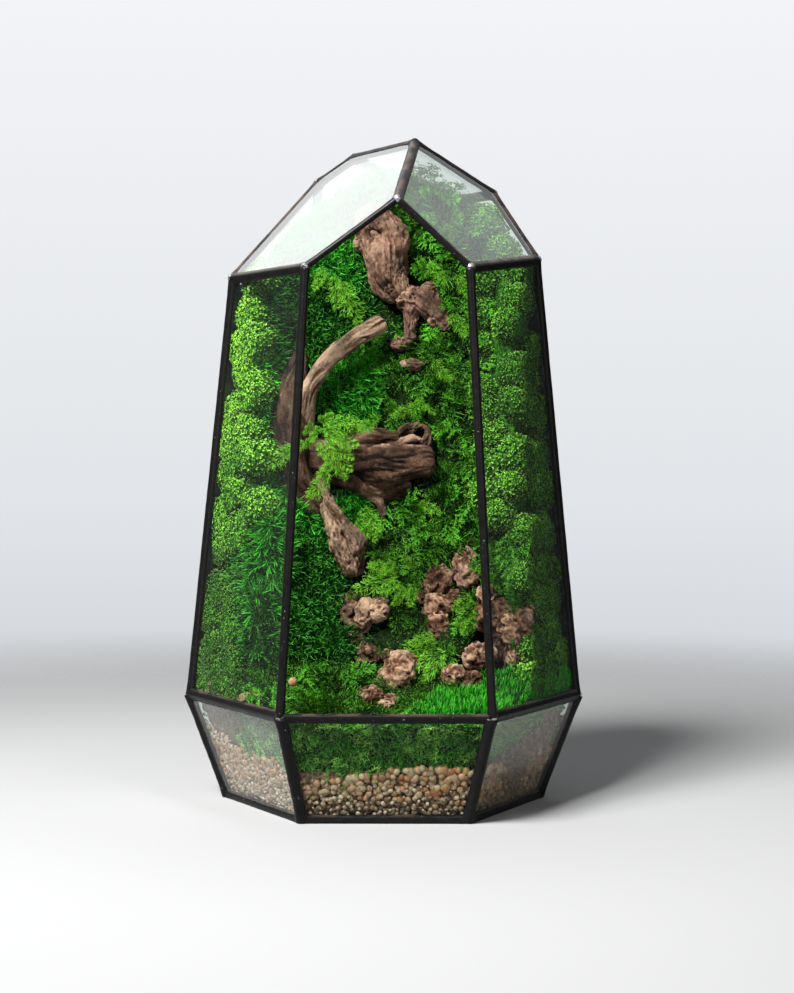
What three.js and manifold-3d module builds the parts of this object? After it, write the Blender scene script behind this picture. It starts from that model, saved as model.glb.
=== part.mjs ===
import * as THREE from "three";
import { mergeVertices } from "three/addons/utils/BufferGeometryUtils.js";
import Module from "manifold-3d";

// A glass terrarium shaped like a quartz crystal, with an open upper front face and a planted bank inside.
// Millimetres, +Z up. The origin is the centre of the base's underside, and the open face looks along -Y.

// ---------------------------------------------------------------- driving dimensions

const GLASS = 2.0; // pane thickness
const GAP = 0.3; // clearance between pieces that touch
const PANE_INSET = 1.6; // from a seam's centre line to the edge of the pane it holds

const BASE_RADIUS = 76.2; // centre to corner, on the seams' centre lines
const BELT_RADIUS = 95.0;
const TOP_RADIUS = 74.6;
const BASE_Z = GLASS / 2;
const BELT_Z = 50.5;
const TOP_Z = 256.0; // height at which the upper body has TOP_RADIUS
const APEX = new THREE.Vector3(13.9, 7.3, 320.8);

// Heading and tilt of each roof pane's outward normal, in degrees.
const ROOF = {
  left: { heading: 210.3, tilt: 40.0 },
  right: { heading: 323.6, tilt: 47.5 },
  rear: { heading: 29.7, tilt: 25.8 },
};

// Headings of the six upright corners, in degrees from +X.
const CORNERS = {
  right: 0,
  rear_right: 60,
  rear_left: 120,
  left: 180,
  front_left: 240,
  front_right: 300,
};

// The six sides, each between two corners, going round anticlockwise.
const SIDES = {
  right_rear: ["right", "rear_right"],
  rear: ["rear_right", "rear_left"],
  left_rear: ["rear_left", "left"],
  left_front: ["left", "front_left"],
  front: ["front_left", "front_right"],
  right_front: ["front_right", "right"],
};

// Radii of the solder beads.
const BASE_BEAD = 2.7;
const BELT_BEAD = 2.7;
const LOWER_BEAD = 3.0;
const UPPER_BEAD = 2.6;
const OPENING_BEAD = 2.35; // the two upright beads beside the open face hold one pane each
const ROOF_BEAD = 2.5;
const RIDGE_BEAD = 2.6;
const BEAD_SIDES = 8;
const BLOB = 1.25; // radius of the blob of solder at the apex, times its beads' radius

// Room that the planting leaves inside the seams' centre planes.
const SIDE_ROOM = 3.3;
const ROOF_ROOM = 9.0;
const SOIL_ROOF_ROOM = 22.0; // moss covers the top of the soil
const BASE_ROOM = GLASS / 2 + GAP;

const GRAVEL_TOP = 24.0;
const GRAVEL_RISE_LEFT = 6.0; // the gravel is banked up towards the left corner

// Depth of the moss surface and of the soil behind it, at mid width: [height, y].
const MOSS_PROFILE = [
  [20, -68],
  [36, -72.5],
  [46, -75.5],
  [49, -66],
  [52, -54],
  [57, -43],
  [63, -34],
  [76, -24],
  [97, -16],
  [122, -10],
  [152, -5],
  [182, 0],
  [222, 6],
  [262, 13],
  [290, 22],
  [312, 32],
];
const SOIL_PROFILE = [
  [20, -60],
  [34, -55],
  [42, -44],
  [50, -30],
  [60, -18],
  [80, -7],
  [100, -1],
  [125, 4],
  [152, 8],
  [182, 13],
  [222, 18],
  [262, 25],
  [290, 33],
  [312, 42],
];
// The bank comes forward at both sides, and more so above the floor.
const LINING = { reach: 22, width: 80, power: 2.2, from: 50, to: 90 };

// ---------------------------------------------------------------- colours

const COLOURS = {
  glass: { color: 0xdfe8e4, roughness: 0.05, metalness: 0 },
  solder: { color: 0x2b2725, roughness: 0.38, metalness: 0.8 },
  gravel: { color: 0xb78a62, roughness: 0.7, metalness: 0 },
  soil: { color: 0x4a3426, roughness: 0.95, metalness: 0 },
  wood: { color: 0x7a5238, roughness: 0.8, metalness: 0 },
  stone: { color: 0x9a7452, roughness: 0.85, metalness: 0 },
  moss_bun: { color: 0x4f9a2a, roughness: 0.9, metalness: 0 },
  moss_needle: { color: 0x167a1a, roughness: 0.9, metalness: 0 },
  moss_feather: { color: 0x3f8f1d, roughness: 0.9, metalness: 0 },
  moss_grass: { color: 0x1fa51c, roughness: 0.9, metalness: 0 },
};

// ---------------------------------------------------------------- solids

const wasm = await Module();
wasm.setup();

const part = new THREE.Group();

/** A closed solid from vertices and triangles, turned to face outwards. */
function solidOf(vertices, triangles) {
  const build = (list) => {
    const mesh = { numProp: 3, vertProperties: vertices, triVerts: new Uint32Array(list) };
    return new wasm.Manifold(new wasm.Mesh(mesh));
  };
  const made = build(triangles);
  if (made.volume() >= 0) return made;
  const turned = [];
  for (let i = 0; i < triangles.length; i += 3)
    turned.push(triangles[i], triangles[i + 2], triangles[i + 1]);
  return build(turned);
}

/** A closed solid from a three.js geometry, placed by a matrix. */
function solidFrom(geometry, matrix = new THREE.Matrix4()) {
  const bare = geometry.clone();
  bare.deleteAttribute("normal");
  bare.deleteAttribute("uv");
  bare.applyMatrix4(matrix);
  const merged = mergeVertices(bare, 1e-4);
  return solidOf(merged.attributes.position.array, merged.index.array);
}

function joined(solids) {
  return solids.reduce((a, b) => a.add(b));
}

function cutBy(body, tools) {
  return tools.reduce((a, b) => a.subtract(b), body);
}

/** The largest body of a solid, without the crumbs that a cut can leave. */
function largest(body) {
  const bodies = body.decompose();
  return bodies.reduce((a, b) => (b.volume() > a.volume() ? b : a));
}

/** Adds a solid to the part as one named mesh. */
function addNode(name, finish, body) {
  const mesh = body.getMesh();
  const geometry = new THREE.BufferGeometry();
  geometry.setAttribute("position", new THREE.BufferAttribute(mesh.vertProperties, mesh.numProp));
  geometry.setIndex(new THREE.BufferAttribute(mesh.triVerts, 1));
  geometry.computeVertexNormals();
  const node = new THREE.Mesh(geometry, new THREE.MeshStandardMaterial(COLOURS[finish]));
  node.name = name;
  part.add(node);
}

/** A closed solid between two sheets of points, front(u, v) and back(u, v), with u and v from 0 to 1. */
function sheetSolid(columns, rows, front, back) {
  const points = [];
  const triangles = [];
  const across = columns + 1;
  const layer = across * (rows + 1);
  for (const sheet of [front, back])
    for (let j = 0; j <= rows; j++)
      for (let i = 0; i <= columns; i++) points.push(...sheet(i / columns, j / rows));
  const quad = (a, b, c, d) => triangles.push(a, b, c, a, c, d);
  for (let j = 0; j < rows; j++)
    for (let i = 0; i < columns; i++) {
      const k = j * across + i;
      quad(k, k + 1, k + across + 1, k + across);
      quad(layer + k + across, layer + k + across + 1, layer + k + 1, layer + k);
    }
  const wall = (a, b) => quad(b, a, a + layer, b + layer);
  for (let i = 0; i < columns; i++) {
    wall(i, i + 1);
    wall(rows * across + i + 1, rows * across + i);
  }
  for (let j = 0; j < rows; j++) {
    wall((j + 1) * across, j * across);
    wall(j * across + columns, (j + 1) * across + columns);
  }
  return solidOf(new Float32Array(points), triangles);
}

/** Straight-line interpolation in a list of [height, value]. */
function along(profile, z) {
  const last = profile.length - 1;
  if (z <= profile[0][0]) return profile[0][1];
  if (z >= profile[last][0]) return profile[last][1];
  const i = profile.findIndex(([height]) => height > z);
  const [z0, y0] = profile[i - 1];
  const [z1, y1] = profile[i];
  return y0 + ((y1 - y0) * (z - z0)) / (z1 - z0);
}

// ---------------------------------------------------------------- the crystal's outline

const radians = THREE.MathUtils.degToRad;

function cornerAt(radius, corner, z) {
  const heading = radians(CORNERS[corner]);
  return new THREE.Vector3(radius * Math.cos(heading), radius * Math.sin(heading), z);
}

/** The plane of one side, through two corners at one height and one corner at another. */
function sidePlane([a, b], radius0, z0, radius1, z1) {
  const points = [cornerAt(radius0, a, z0), cornerAt(radius0, b, z0), cornerAt(radius1, a, z1)];
  const plane = new THREE.Plane().setFromCoplanarPoints(...points);
  return plane.distanceToPoint(new THREE.Vector3(0, 0, z0)) > 0 ? plane.negate() : plane;
}

function roofPlane({ heading, tilt }) {
  const normal = new THREE.Vector3(Math.sin(radians(tilt)), 0, Math.cos(radians(tilt)));
  normal.applyAxisAngle(new THREE.Vector3(0, 0, 1), radians(heading));
  return new THREE.Plane().setFromNormalAndCoplanarPoint(normal, APEX);
}

/** The point where three planes meet. */
function meeting(p, q, r) {
  const rows = [p, q, r];
  const m = new THREE.Matrix3().set(...rows.flatMap(({ normal }) => normal.toArray()));
  return new THREE.Vector3(...rows.map(({ constant }) => -constant)).applyMatrix3(m.invert());
}

/** All the crystal's corners, with its sides, base and roof moved inwards by the given rooms. */
function crystalCorners(sideRoom, baseRoom, roofRoom) {
  const inwards = (plane, room) => new THREE.Plane(plane.normal, plane.constant + room);
  const lower = {};
  const upper = {};
  for (const [side, ends] of Object.entries(SIDES)) {
    lower[side] = inwards(sidePlane(ends, BASE_RADIUS, BASE_Z, BELT_RADIUS, BELT_Z), sideRoom);
    upper[side] = inwards(sidePlane(ends, BELT_RADIUS, BELT_Z, TOP_RADIUS, TOP_Z), sideRoom);
  }
  const base = new THREE.Plane(new THREE.Vector3(0, 0, -1), BASE_Z + baseRoom);
  const left = inwards(roofPlane(ROOF.left), roofRoom);
  const right = inwards(roofPlane(ROOF.right), roofRoom);
  const rear = inwards(roofPlane(ROOF.rear), roofRoom);
  const sidesAt = (corner) => Object.keys(SIDES).filter((side) => SIDES[side].includes(corner));
  const shoulderRoof = {
    left,
    front_left: left,
    rear_left: left,
    front_right: right,
    right,
    rear_right: rear,
  };
  const corners = {};
  for (const corner of Object.keys(CORNERS)) {
    const [a, b] = sidesAt(corner);
    corners["base_" + corner] = meeting(base, lower[a], lower[b]);
    corners["belt_" + corner] = meeting(lower[a], lower[b], upper[a]);
    corners["shoulder_" + corner] = meeting(shoulderRoof[corner], upper[a], upper[b]);
  }
  corners.peak_front = meeting(left, right, upper.front);
  corners.peak_right = meeting(right, rear, upper.right_rear);
  corners.peak_rear = meeting(left, rear, upper.rear);
  corners.apex = meeting(left, right, rear);
  return corners;
}

// Peaks where a roof ridge comes down to a side's top edge.
const PEAKS = { front: "peak_front", right_rear: "peak_right", rear: "peak_rear" };

// Outlines of all the flat faces, as lists of corner names.
const OUTLINES = { base: Object.keys(CORNERS).map((corner) => "base_" + corner) };
for (const [side, [a, b]] of Object.entries(SIDES)) {
  const peak = side in PEAKS ? [PEAKS[side]] : [];
  OUTLINES["lower_" + side] = ["base_" + a, "base_" + b, "belt_" + b, "belt_" + a];
  OUTLINES["upper_" + side] = ["belt_" + a, "belt_" + b, "shoulder_" + b, ...peak, "shoulder_" + a];
}
OUTLINES.roof_left = [
  "shoulder_left",
  "shoulder_front_left",
  "peak_front",
  "apex",
  "peak_rear",
  "shoulder_rear_left",
];
OUTLINES.roof_right = ["shoulder_front_right", "shoulder_right", "peak_right", "apex", "peak_front"];
OUTLINES.roof_rear = ["apex", "peak_right", "shoulder_rear_right", "peak_rear"];

const OPEN_FACE = "upper_front";
const SEAM_LINES = crystalCorners(0, 0, 0);

/** The outward normal of a face whose outline may run either way. */
function outwardNormal(outline) {
  const [a, b, c] = outline;
  const normal = b.clone().sub(a).cross(c.clone().sub(b)).normalize();
  const middle = new THREE.Vector3(0, 0, TOP_Z / 2);
  return normal.dot(a.clone().sub(middle)) < 0 ? normal.negate() : normal;
}

/** The closed convex room inside the crystal, with the given rooms kept free along its faces. */
function innerRoom(sideRoom, baseRoom, roofRoom) {
  const corners = crystalCorners(sideRoom, baseRoom, roofRoom);
  const names = Object.keys(corners);
  const triangles = [];
  for (const outline of Object.values(OUTLINES)) {
    const points = outline.map((name) => corners[name]);
    const [a, b, c] = points;
    const turn = b.clone().sub(a).cross(c.clone().sub(b)).dot(outwardNormal(points));
    const order = turn > 0 ? outline : outline.slice().reverse();
    for (let i = 1; i + 1 < order.length; i++)
      triangles.push(names.indexOf(order[0]), names.indexOf(order[i]), names.indexOf(order[i + 1]));
  }
  return solidOf(new Float32Array(names.flatMap((name) => corners[name].toArray())), triangles);
}

// ---------------------------------------------------------------- glass

/** One flat pane: its face's outline drawn in from the seam lines, and extruded by the glass thickness. */
function pane(face, grow) {
  const points = OUTLINES[face].map((name) => SEAM_LINES[name]);
  const normal = outwardNormal(points);
  const xAxis = points[1].clone().sub(points[0]).normalize();
  const yAxis = normal.clone().cross(xAxis);
  const flat = points.map((p) => {
    const from = p.clone().sub(points[0]);
    return new THREE.Vector2(from.dot(xAxis), from.dot(yAxis));
  });
  const round = THREE.ShapeUtils.isClockWise(flat) ? flat.reverse() : flat;
  const inset = PANE_INSET - grow;
  const drawnIn = round.map((p, i) => {
    const before = p.clone().sub(round.at(i - 1)).normalize();
    const after = round[(i + 1) % round.length].clone().sub(p).normalize();
    const half = Math.sqrt((1 + before.dot(after)) / 2); // cosine of half the turn
    const inwards = new THREE.Vector2(-before.y - after.y, before.x + after.x).normalize();
    return p.clone().addScaledVector(inwards, inset / half);
  });
  const depth = GLASS + 2 * grow;
  const geometry = new THREE.ExtrudeGeometry(new THREE.Shape(drawnIn), { depth, bevelEnabled: false });
  const origin = points[0].clone().addScaledVector(normal, -depth / 2);
  const place = new THREE.Matrix4().makeBasis(xAxis, yAxis, normal).setPosition(origin);
  return solidFrom(geometry, place);
}

const PANES = Object.keys(OUTLINES).filter((face) => face !== OPEN_FACE);

function paneName(face) {
  const [level, ...rest] = face.split("_");
  return [level, "pane", ...rest].join("_");
}

for (const face of PANES) addNode(paneName(face), "glass", pane(face, 0));

// ---------------------------------------------------------------- solder seams

const BASE_RING = Object.keys(CORNERS).map((corner) => "base_" + corner);
const BELT_RING = Object.keys(CORNERS).map((corner) => "belt_" + corner);
const ROOF_RING = Object.entries(SIDES).flatMap(([side, [corner]]) =>
  side in PEAKS ? ["shoulder_" + corner, PEAKS[side]] : ["shoulder_" + corner],
);

/** Unit direction from one corner to another. */
function direction(from, to) {
  return SEAM_LINES[to].clone().sub(SEAM_LINES[from]).normalize();
}

/** A bead of solder along a closed line of corners, with mitred turns. */
function ring(corners, radius) {
  const points = [];
  const triangles = [];
  const count = corners.length;
  corners.forEach((corner, i) => {
    const before = direction(corners.at(i - 1), corner);
    const after = direction(corner, corners[(i + 1) % count]);
    const across = before.clone().add(after).normalize(); // normal of the mitre plane
    const inside = after.clone().sub(before).normalize();
    const half = Math.sqrt((1 + before.dot(after)) / 2); // cosine of half the turn
    const outwards = SEAM_LINES[corner].clone().setZ(0).projectOnPlane(across).normalize();
    const sideways = across.clone().cross(outwards);
    for (let j = 0; j < BEAD_SIDES; j++) {
      const turn = (2 * Math.PI * (j + 0.5)) / BEAD_SIDES;
      const offset = outwards.clone().multiplyScalar(radius * Math.cos(turn));
      offset.addScaledVector(sideways, radius * Math.sin(turn));
      offset.addScaledVector(inside, offset.dot(inside) * (1 / half - 1));
      points.push(...offset.add(SEAM_LINES[corner]).toArray());
      const next = (j + 1) % BEAD_SIDES;
      const a = i * BEAD_SIDES;
      const b = ((i + 1) % count) * BEAD_SIDES;
      triangles.push(a + j, b + j, b + next, a + j, b + next, a + next);
    }
  });
  return solidOf(new Float32Array(points), triangles);
}

/** How far a bead stops short of a corner, so that its flat end clears the ring that passes there. */
function stopShort(corner, away, radius, corners, ringRadius) {
  const i = corners.indexOf(corner);
  const beside = [corners.at(i - 1), corners[(i + 1) % corners.length]];
  const needs = beside.map((other) => {
    const cosine = Math.max(0, direction(corner, other).dot(away));
    return (ringRadius + GAP + radius * cosine) / Math.sqrt(1 - cosine * cosine);
  });
  return Math.max(...needs);
}

/** A straight bead of solder between two corners, short of each by the given length. */
function bead(from, to, radius, shortOfFrom, shortOfTo) {
  const way = direction(from, to);
  const a = SEAM_LINES[from].clone().addScaledVector(way, shortOfFrom);
  const b = SEAM_LINES[to].clone().addScaledVector(way, -shortOfTo);
  const geometry = new THREE.CylinderGeometry(radius, radius, a.distanceTo(b), BEAD_SIDES);
  const turn = new THREE.Quaternion().setFromUnitVectors(new THREE.Vector3(0, 1, 0), way);
  const middle = a.clone().add(b).multiplyScalar(0.5);
  return solidFrom(geometry, new THREE.Matrix4().compose(middle, turn, new THREE.Vector3(1, 1, 1)));
}

/** A bead between a corner of one ring and a corner of another. */
function uprightBead(from, fromRing, fromRadius, to, toRing, toRadius, radius) {
  const way = direction(from, to);
  const shortOfFrom = stopShort(from, way, radius, fromRing, fromRadius);
  const shortOfTo = stopShort(to, way.clone().negate(), radius, toRing, toRadius);
  return bead(from, to, radius, shortOfFrom, shortOfTo);
}

/** The three ridges, from the blob at the apex down to the roof's rim. */
function ridges() {
  const beads = Object.values(PEAKS).map((peak) => {
    const short = stopShort(peak, direction(peak, "apex"), RIDGE_BEAD, ROOF_RING, ROOF_BEAD);
    return bead("apex", peak, RIDGE_BEAD, 0, short);
  });
  const place = new THREE.Matrix4().makeRotationX(Math.PI / 2).setPosition(SEAM_LINES.apex);
  const blob = solidFrom(new THREE.SphereGeometry(RIDGE_BEAD * BLOB, BEAD_SIDES, 4), place);
  return joined([...beads, blob]);
}

const grooves = PANES.map((face) => pane(face, GAP));
const underBase = solidFrom(
  new THREE.BoxGeometry(4 * BASE_RADIUS, 4 * BASE_RADIUS, 40),
  new THREE.Matrix4().makeTranslation(0, 0, -20),
);

addNode("base_rim", "solder", largest(cutBy(ring(BASE_RING, BASE_BEAD), [...grooves, underBase])));
addNode("belt_rim", "solder", largest(cutBy(ring(BELT_RING, BELT_BEAD), grooves)));
addNode("roof_rim", "solder", largest(cutBy(ring(ROOF_RING, ROOF_BEAD), grooves)));
addNode("roof_ridges", "solder", largest(cutBy(ridges(), grooves)));

for (const corner of Object.keys(CORNERS)) {
  const [base, belt, shoulder] = ["base_", "belt_", "shoulder_"].map((level) => level + corner);
  const besideOpening = SIDES.front.includes(corner);
  const upperRadius = besideOpening ? OPENING_BEAD : UPPER_BEAD;
  const lower = uprightBead(base, BASE_RING, BASE_BEAD, belt, BELT_RING, BELT_BEAD, LOWER_BEAD);
  const upper = uprightBead(belt, BELT_RING, BELT_BEAD, shoulder, ROOF_RING, ROOF_BEAD, upperRadius);
  addNode("lower_seam_" + corner, "solder", largest(cutBy(lower, grooves)));
  addNode("upper_seam_" + corner, "solder", largest(cutBy(upper, grooves)));
}

// ---------------------------------------------------------------- driftwood

const ROUND_END = 0.55; // how far a limb's end point stands out, times its radius there

/** A limb of driftwood: rings of knobby section along a smooth path, closed by a point at each end. */
function limb({ path, radii, sides, steps, phase }, grow) {
  const curve = new THREE.CatmullRomCurve3(path.map((p) => new THREE.Vector3(...p)));
  const frames = curve.computeFrenetFrames(steps);
  const points = [];
  const triangles = [];
  for (let i = 0; i <= steps; i++) {
    const t = i / steps;
    const centre = curve.getPointAt(t);
    const place = t * (radii.length - 1);
    const k = Math.min(Math.floor(place), radii.length - 2);
    const radius = radii[k] + (radii[k + 1] - radii[k]) * (place - k);
    for (let j = 0; j < sides; j++) {
      const turn = (2 * Math.PI * j) / sides;
      const wide = 0.1 * Math.sin(3 * turn + 5 * t + phase);
      const narrow = 0.06 * Math.sin(2 * turn - 11 * t + phase);
      const r = radius * (1 + wide + narrow) + grow;
      const out = frames.normals[i].clone().multiplyScalar(r * Math.cos(turn));
      out.addScaledVector(frames.binormals[i], r * Math.sin(turn));
      points.push(...out.add(centre).toArray());
    }
  }
  const cap = (i, way) => {
    const reach = way * (radii.at(way < 0 ? 0 : -1) * ROUND_END + grow);
    const tip = curve.getPointAt(i / steps).addScaledVector(curve.getTangentAt(i / steps), reach);
    points.push(...tip.toArray());
  };
  cap(0, -1);
  cap(steps, 1);
  const first = (steps + 1) * sides;
  for (let j = 0; j < sides; j++) {
    const next = (j + 1) % sides;
    for (let i = 0; i < steps; i++) {
      const a = i * sides;
      const b = a + sides;
      triangles.push(a + j, a + next, b + next, a + j, b + next, b + j);
    }
    triangles.push(first, next, j);
    triangles.push(first + 1, steps * sides + j, steps * sides + next);
  }
  return solidOf(new Float32Array(points), triangles);
}

const MAIN_WOOD = {
  trunk: {
    path: [[-49, 2, 217], [-48, -4, 197], [-44, -6, 176], [-39, -6, 158], [-30, -4, 149]],
    radii: [5.5, 8.5, 11.5, 11.5, 8],
    sides: 10,
    steps: 8,
    phase: 0.4,
  },
  log: {
    path: [[-42, -2, 167], [-20, -6, 166], [2, -9, 165], [19, -11, 165]],
    radii: [11.5, 14, 14.5, 12.5],
    sides: 12,
    steps: 7,
    phase: 2.1,
  },
  branch: {
    path: [
      [-42, -8, 174],
      [-39.5, -13, 190],
      [-36, -14, 201],
      [-28, -12, 213],
      [-17, -9, 222],
      [-3, -5, 231],
    ],
    radii: [6.5, 5.0, 4.4, 4.1, 4.3, 4.9],
    sides: 8,
    steps: 10,
    phase: 1.2,
  },
  root: {
    path: [[-34, -6, 154], [-29, -10, 145], [-23, -14, 135], [-17, -17, 123], [-15.5, -18, 111]],
    radii: [7, 4.8, 6.5, 8, 5],
    sides: 8,
    steps: 6,
    phase: 3.0,
  },
};

const UPPER_WOOD = {
  stump: {
    path: [[-5, 8, 283], [0, 8, 271], [4, 7, 259], [9, 6, 249]],
    radii: [8, 11, 11.5, 9.5],
    sides: 10,
    steps: 5,
    phase: 0.9,
  },
  lobe: {
    path: [[6, 7, 250], [16, 5, 245], [25, 5, 244]],
    radii: [9, 9.5, 6.5],
    sides: 9,
    steps: 4,
    phase: 2.6,
  },
  tail: {
    path: [[10, 6, 246], [9, 4, 235], [7, 2, 222]],
    radii: [8, 5, 4.5],
    sides: 8,
    steps: 4,
    phase: 0.2,
  },
};

function driftwood(limbs, grow) {
  return joined(Object.values(limbs).map((each) => limb(each, grow)));
}

// ---------------------------------------------------------------- stones

/** A knobby stone: a fine ball whose surface is moved in and out by a few waves. */
function stone({ at, size, detail, phase }, grow) {
  const bare = new THREE.IcosahedronGeometry(1, detail);
  bare.deleteAttribute("normal");
  bare.deleteAttribute("uv");
  const ball = mergeVertices(bare, 1e-4);
  const position = ball.attributes.position;
  const p = new THREE.Vector3();
  for (let i = 0; i < position.count; i++) {
    p.fromBufferAttribute(position, i).normalize();
    const wide = 0.12 * Math.sin(4 * p.x + phase) * Math.cos(5 * p.z - phase);
    const knob = 1 + wide + 0.08 * Math.sin(7 * p.y + phase);
    const reach = size.map((radius) => radius * knob + grow);
    position.setXYZ(i, at[0] + p.x * reach[0], at[1] + p.y * reach[1], at[2] + p.z * reach[2]);
  }
  return solidOf(position.array, ball.index.array);
}

const STONES = {
  stone_left: { at: [-10.5, -20, 92], size: [12.5, 10, 12.5], detail: 2, phase: 0.3 },
  stone_low_mid: { at: [6.7, -32, 65.5], size: [10, 9, 9], detail: 1, phase: 1.9 },
  stone_low_front: { at: [-4.5, -44, 57], size: [8.5, 7, 5.8], detail: 1, phase: 3.3 },
  stone_right_top: { at: [38, -15, 114], size: [7, 7, 9], detail: 1, phase: 4.6 },
  stone_right_mid: { at: [27.5, -16, 96], size: [11, 9.5, 15.5], detail: 2, phase: 2.5 },
  stone_right_big: { at: [54, -26, 84], size: [14, 11, 19], detail: 2, phase: 5.4 },
  stone_right_low: { at: [36, -33, 66], size: [9.5, 8, 8.5], detail: 1, phase: 0.8 },
};

// ---------------------------------------------------------------- gravel, soil and moss

/** Height of the gravel's surface. */
function gravelTop(x, y) {
  const left = Math.max(0, -x / BELT_RADIUS);
  const ripple = 0.8 * Math.sin(x / 9 + 1) * Math.cos(y / 11);
  return GRAVEL_TOP + GRAVEL_RISE_LEFT * left * left + ripple;
}

/** How far the bank comes forward at the sides. */
function lining(x, z) {
  const { reach, width, power, from, to } = LINING;
  return reach * Math.pow(Math.abs(x) / width, power) * THREE.MathUtils.smoothstep(z, from, to);
}

function soilDepth(x, z) {
  return along(SOIL_PROFILE, z) - lining(x, z);
}

function mossDepth(x, z) {
  return along(MOSS_PROFILE, z) - lining(x, z);
}

const WIDE = 100; // beyond the crystal on every side

function gravel(grow) {
  const at = (u) => -WIDE + 2 * WIDE * u;
  const top = (u, v) => [at(u), at(v), gravelTop(at(u), at(v)) + grow];
  const bottom = (u, v) => [at(u), at(v), -GLASS];
  return sheetSolid(12, 10, top, bottom);
}

/** The bank of soil that rises against the rear panes. */
function soil(grow) {
  const floor = SOIL_PROFILE[0][0];
  const height = SOIL_PROFILE.at(-1)[0] - floor;
  const x = (u) => -WIDE + 2 * WIDE * u;
  const z = (v) => floor + height * v;
  const front = (u, v) => [x(u), soilDepth(x(u), z(v)) - grow, z(v) + grow];
  const back = (u, v) => [x(u), WIDE, z(v) + grow];
  const room = innerRoom(SIDE_ROOM - grow, BASE_ROOM, SOIL_ROOF_ROOM - grow);
  return sheetSolid(10, 12, front, back).intersect(room);
}

/** A cushion of moss on the bank, between two widths and two heights, puffed up away from its edges. */
function cushion({ x: [x0, x1], z: [z0, z1], puff, lumps, columns, rows }, grow) {
  const edge = GAP / 2 - grow;
  const x = (u) => x0 + edge + (x1 - x0 - 2 * edge) * u;
  const z = (v) => z0 + edge + (z1 - z0 - 2 * edge) * v;
  const front = (u, v) => {
    const swell = Math.sqrt(Math.min(1, 6 * u * (1 - u)) * Math.min(1, 6 * v * (1 - v)));
    const lump = Math.sin(x(u) / 4.1 + z(v) / 7.3) * Math.cos(z(v) / 5.7 - x(u) / 9.1);
    return [x(u), mossDepth(x(u), z(v)) - (puff + lumps * lump) * swell - grow, z(v)];
  };
  const back = (u, v) => [x(u), WIDE, z(v)];
  return sheetSolid(columns, rows, front, back);
}

const PLANTED_TOP = 312;
const PLAIN_LUMPS = { puff: 2.5, lumps: 1 };
const FLAT_LUMPS = { puff: 0.5, lumps: 0.6 };
const BUN_LUMPS = { puff: 7, lumps: 2 };

// Each cushion's kind of moss, its widths and heights on the bank, and the fineness of its surface.
const CUSHIONS = {
  moss_front_skirt: {
    kind: "needle",
    x: [-62, 50],
    z: [22, 46],
    ...FLAT_LUMPS,
    columns: 8,
    rows: 2,
  },
  moss_floor_left: {
    kind: "feather",
    x: [-92, 2],
    z: [46, 70],
    ...FLAT_LUMPS,
    columns: 7,
    rows: 4,
  },
  moss_floor_right: {
    kind: "grass",
    x: [2, 92],
    z: [46, 70],
    ...FLAT_LUMPS,
    columns: 7,
    rows: 4,
  },
  moss_low_left: {
    kind: "needle",
    x: [-50, -14],
    z: [70, 130],
    ...PLAIN_LUMPS,
    columns: 5,
    rows: 7,
  },
  moss_low_middle: {
    kind: "feather",
    x: [-14, 24],
    z: [70, 130],
    ...PLAIN_LUMPS,
    columns: 5,
    rows: 7,
  },
  moss_low_right: {
    kind: "feather",
    x: [24, 48],
    z: [70, 130],
    ...PLAIN_LUMPS,
    columns: 4,
    rows: 7,
  },
  moss_middle_left: {
    kind: "needle",
    x: [-50, -4],
    z: [130, 215],
    ...PLAIN_LUMPS,
    columns: 5,
    rows: 8,
  },
  moss_middle_right: {
    kind: "feather",
    x: [-4, 48],
    z: [130, 215],
    ...PLAIN_LUMPS,
    columns: 6,
    rows: 8,
  },
  moss_upper_left: {
    kind: "needle",
    x: [-50, -6],
    z: [215, PLANTED_TOP],
    ...PLAIN_LUMPS,
    columns: 5,
    rows: 8,
  },
  moss_upper_right: {
    kind: "feather",
    x: [-6, 48],
    z: [215, 262],
    ...PLAIN_LUMPS,
    columns: 6,
    rows: 5,
  },
  moss_crown: {
    kind: "feather",
    x: [-6, 48],
    z: [262, PLANTED_TOP],
    ...PLAIN_LUMPS,
    columns: 6,
    rows: 5,
  },
  moss_column_left_low: {
    kind: "bun",
    x: [-92, -50],
    z: [70, 160],
    ...BUN_LUMPS,
    columns: 5,
    rows: 8,
  },
  moss_column_left_high: {
    kind: "bun",
    x: [-92, -50],
    z: [160, PLANTED_TOP],
    ...BUN_LUMPS,
    columns: 5,
    rows: 10,
  },
  moss_column_right_low: {
    kind: "bun",
    x: [48, 92],
    z: [70, 160],
    ...BUN_LUMPS,
    columns: 5,
    rows: 8,
  },
  moss_column_right_high: {
    kind: "bun",
    x: [48, 92],
    z: [160, PLANTED_TOP],
    ...BUN_LUMPS,
    columns: 5,
    rows: 10,
  },
};

// Spiky moss on the left column, and feather moss draped over the trunk.
const TUFT = { at: [-54.5, -27, 124], size: [8.5, 7, 22], detail: 1, phase: 1.1 };
const FROND = { at: [-26, -23, 166], size: [12, 6, 19], detail: 1, phase: 2.8 };

const bedRoom = innerRoom(SIDE_ROOM, BASE_ROOM, ROOF_ROOM);
const woodRoom = driftwood(MAIN_WOOD, GAP).add(driftwood(UPPER_WOOD, GAP));
const stoneRooms = Object.values(STONES).map((each) => stone(each, GAP));

addNode("gravel_bed", "gravel", largest(gravel(0).intersect(bedRoom)));

const soilTools = [gravel(GAP), woodRoom, ...stoneRooms];
addNode("soil_bank", "soil", largest(cutBy(soil(0), soilTools)));

addNode("driftwood_main", "wood", driftwood(MAIN_WOOD, 0));
addNode("driftwood_upper", "wood", driftwood(UPPER_WOOD, 0));

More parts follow.
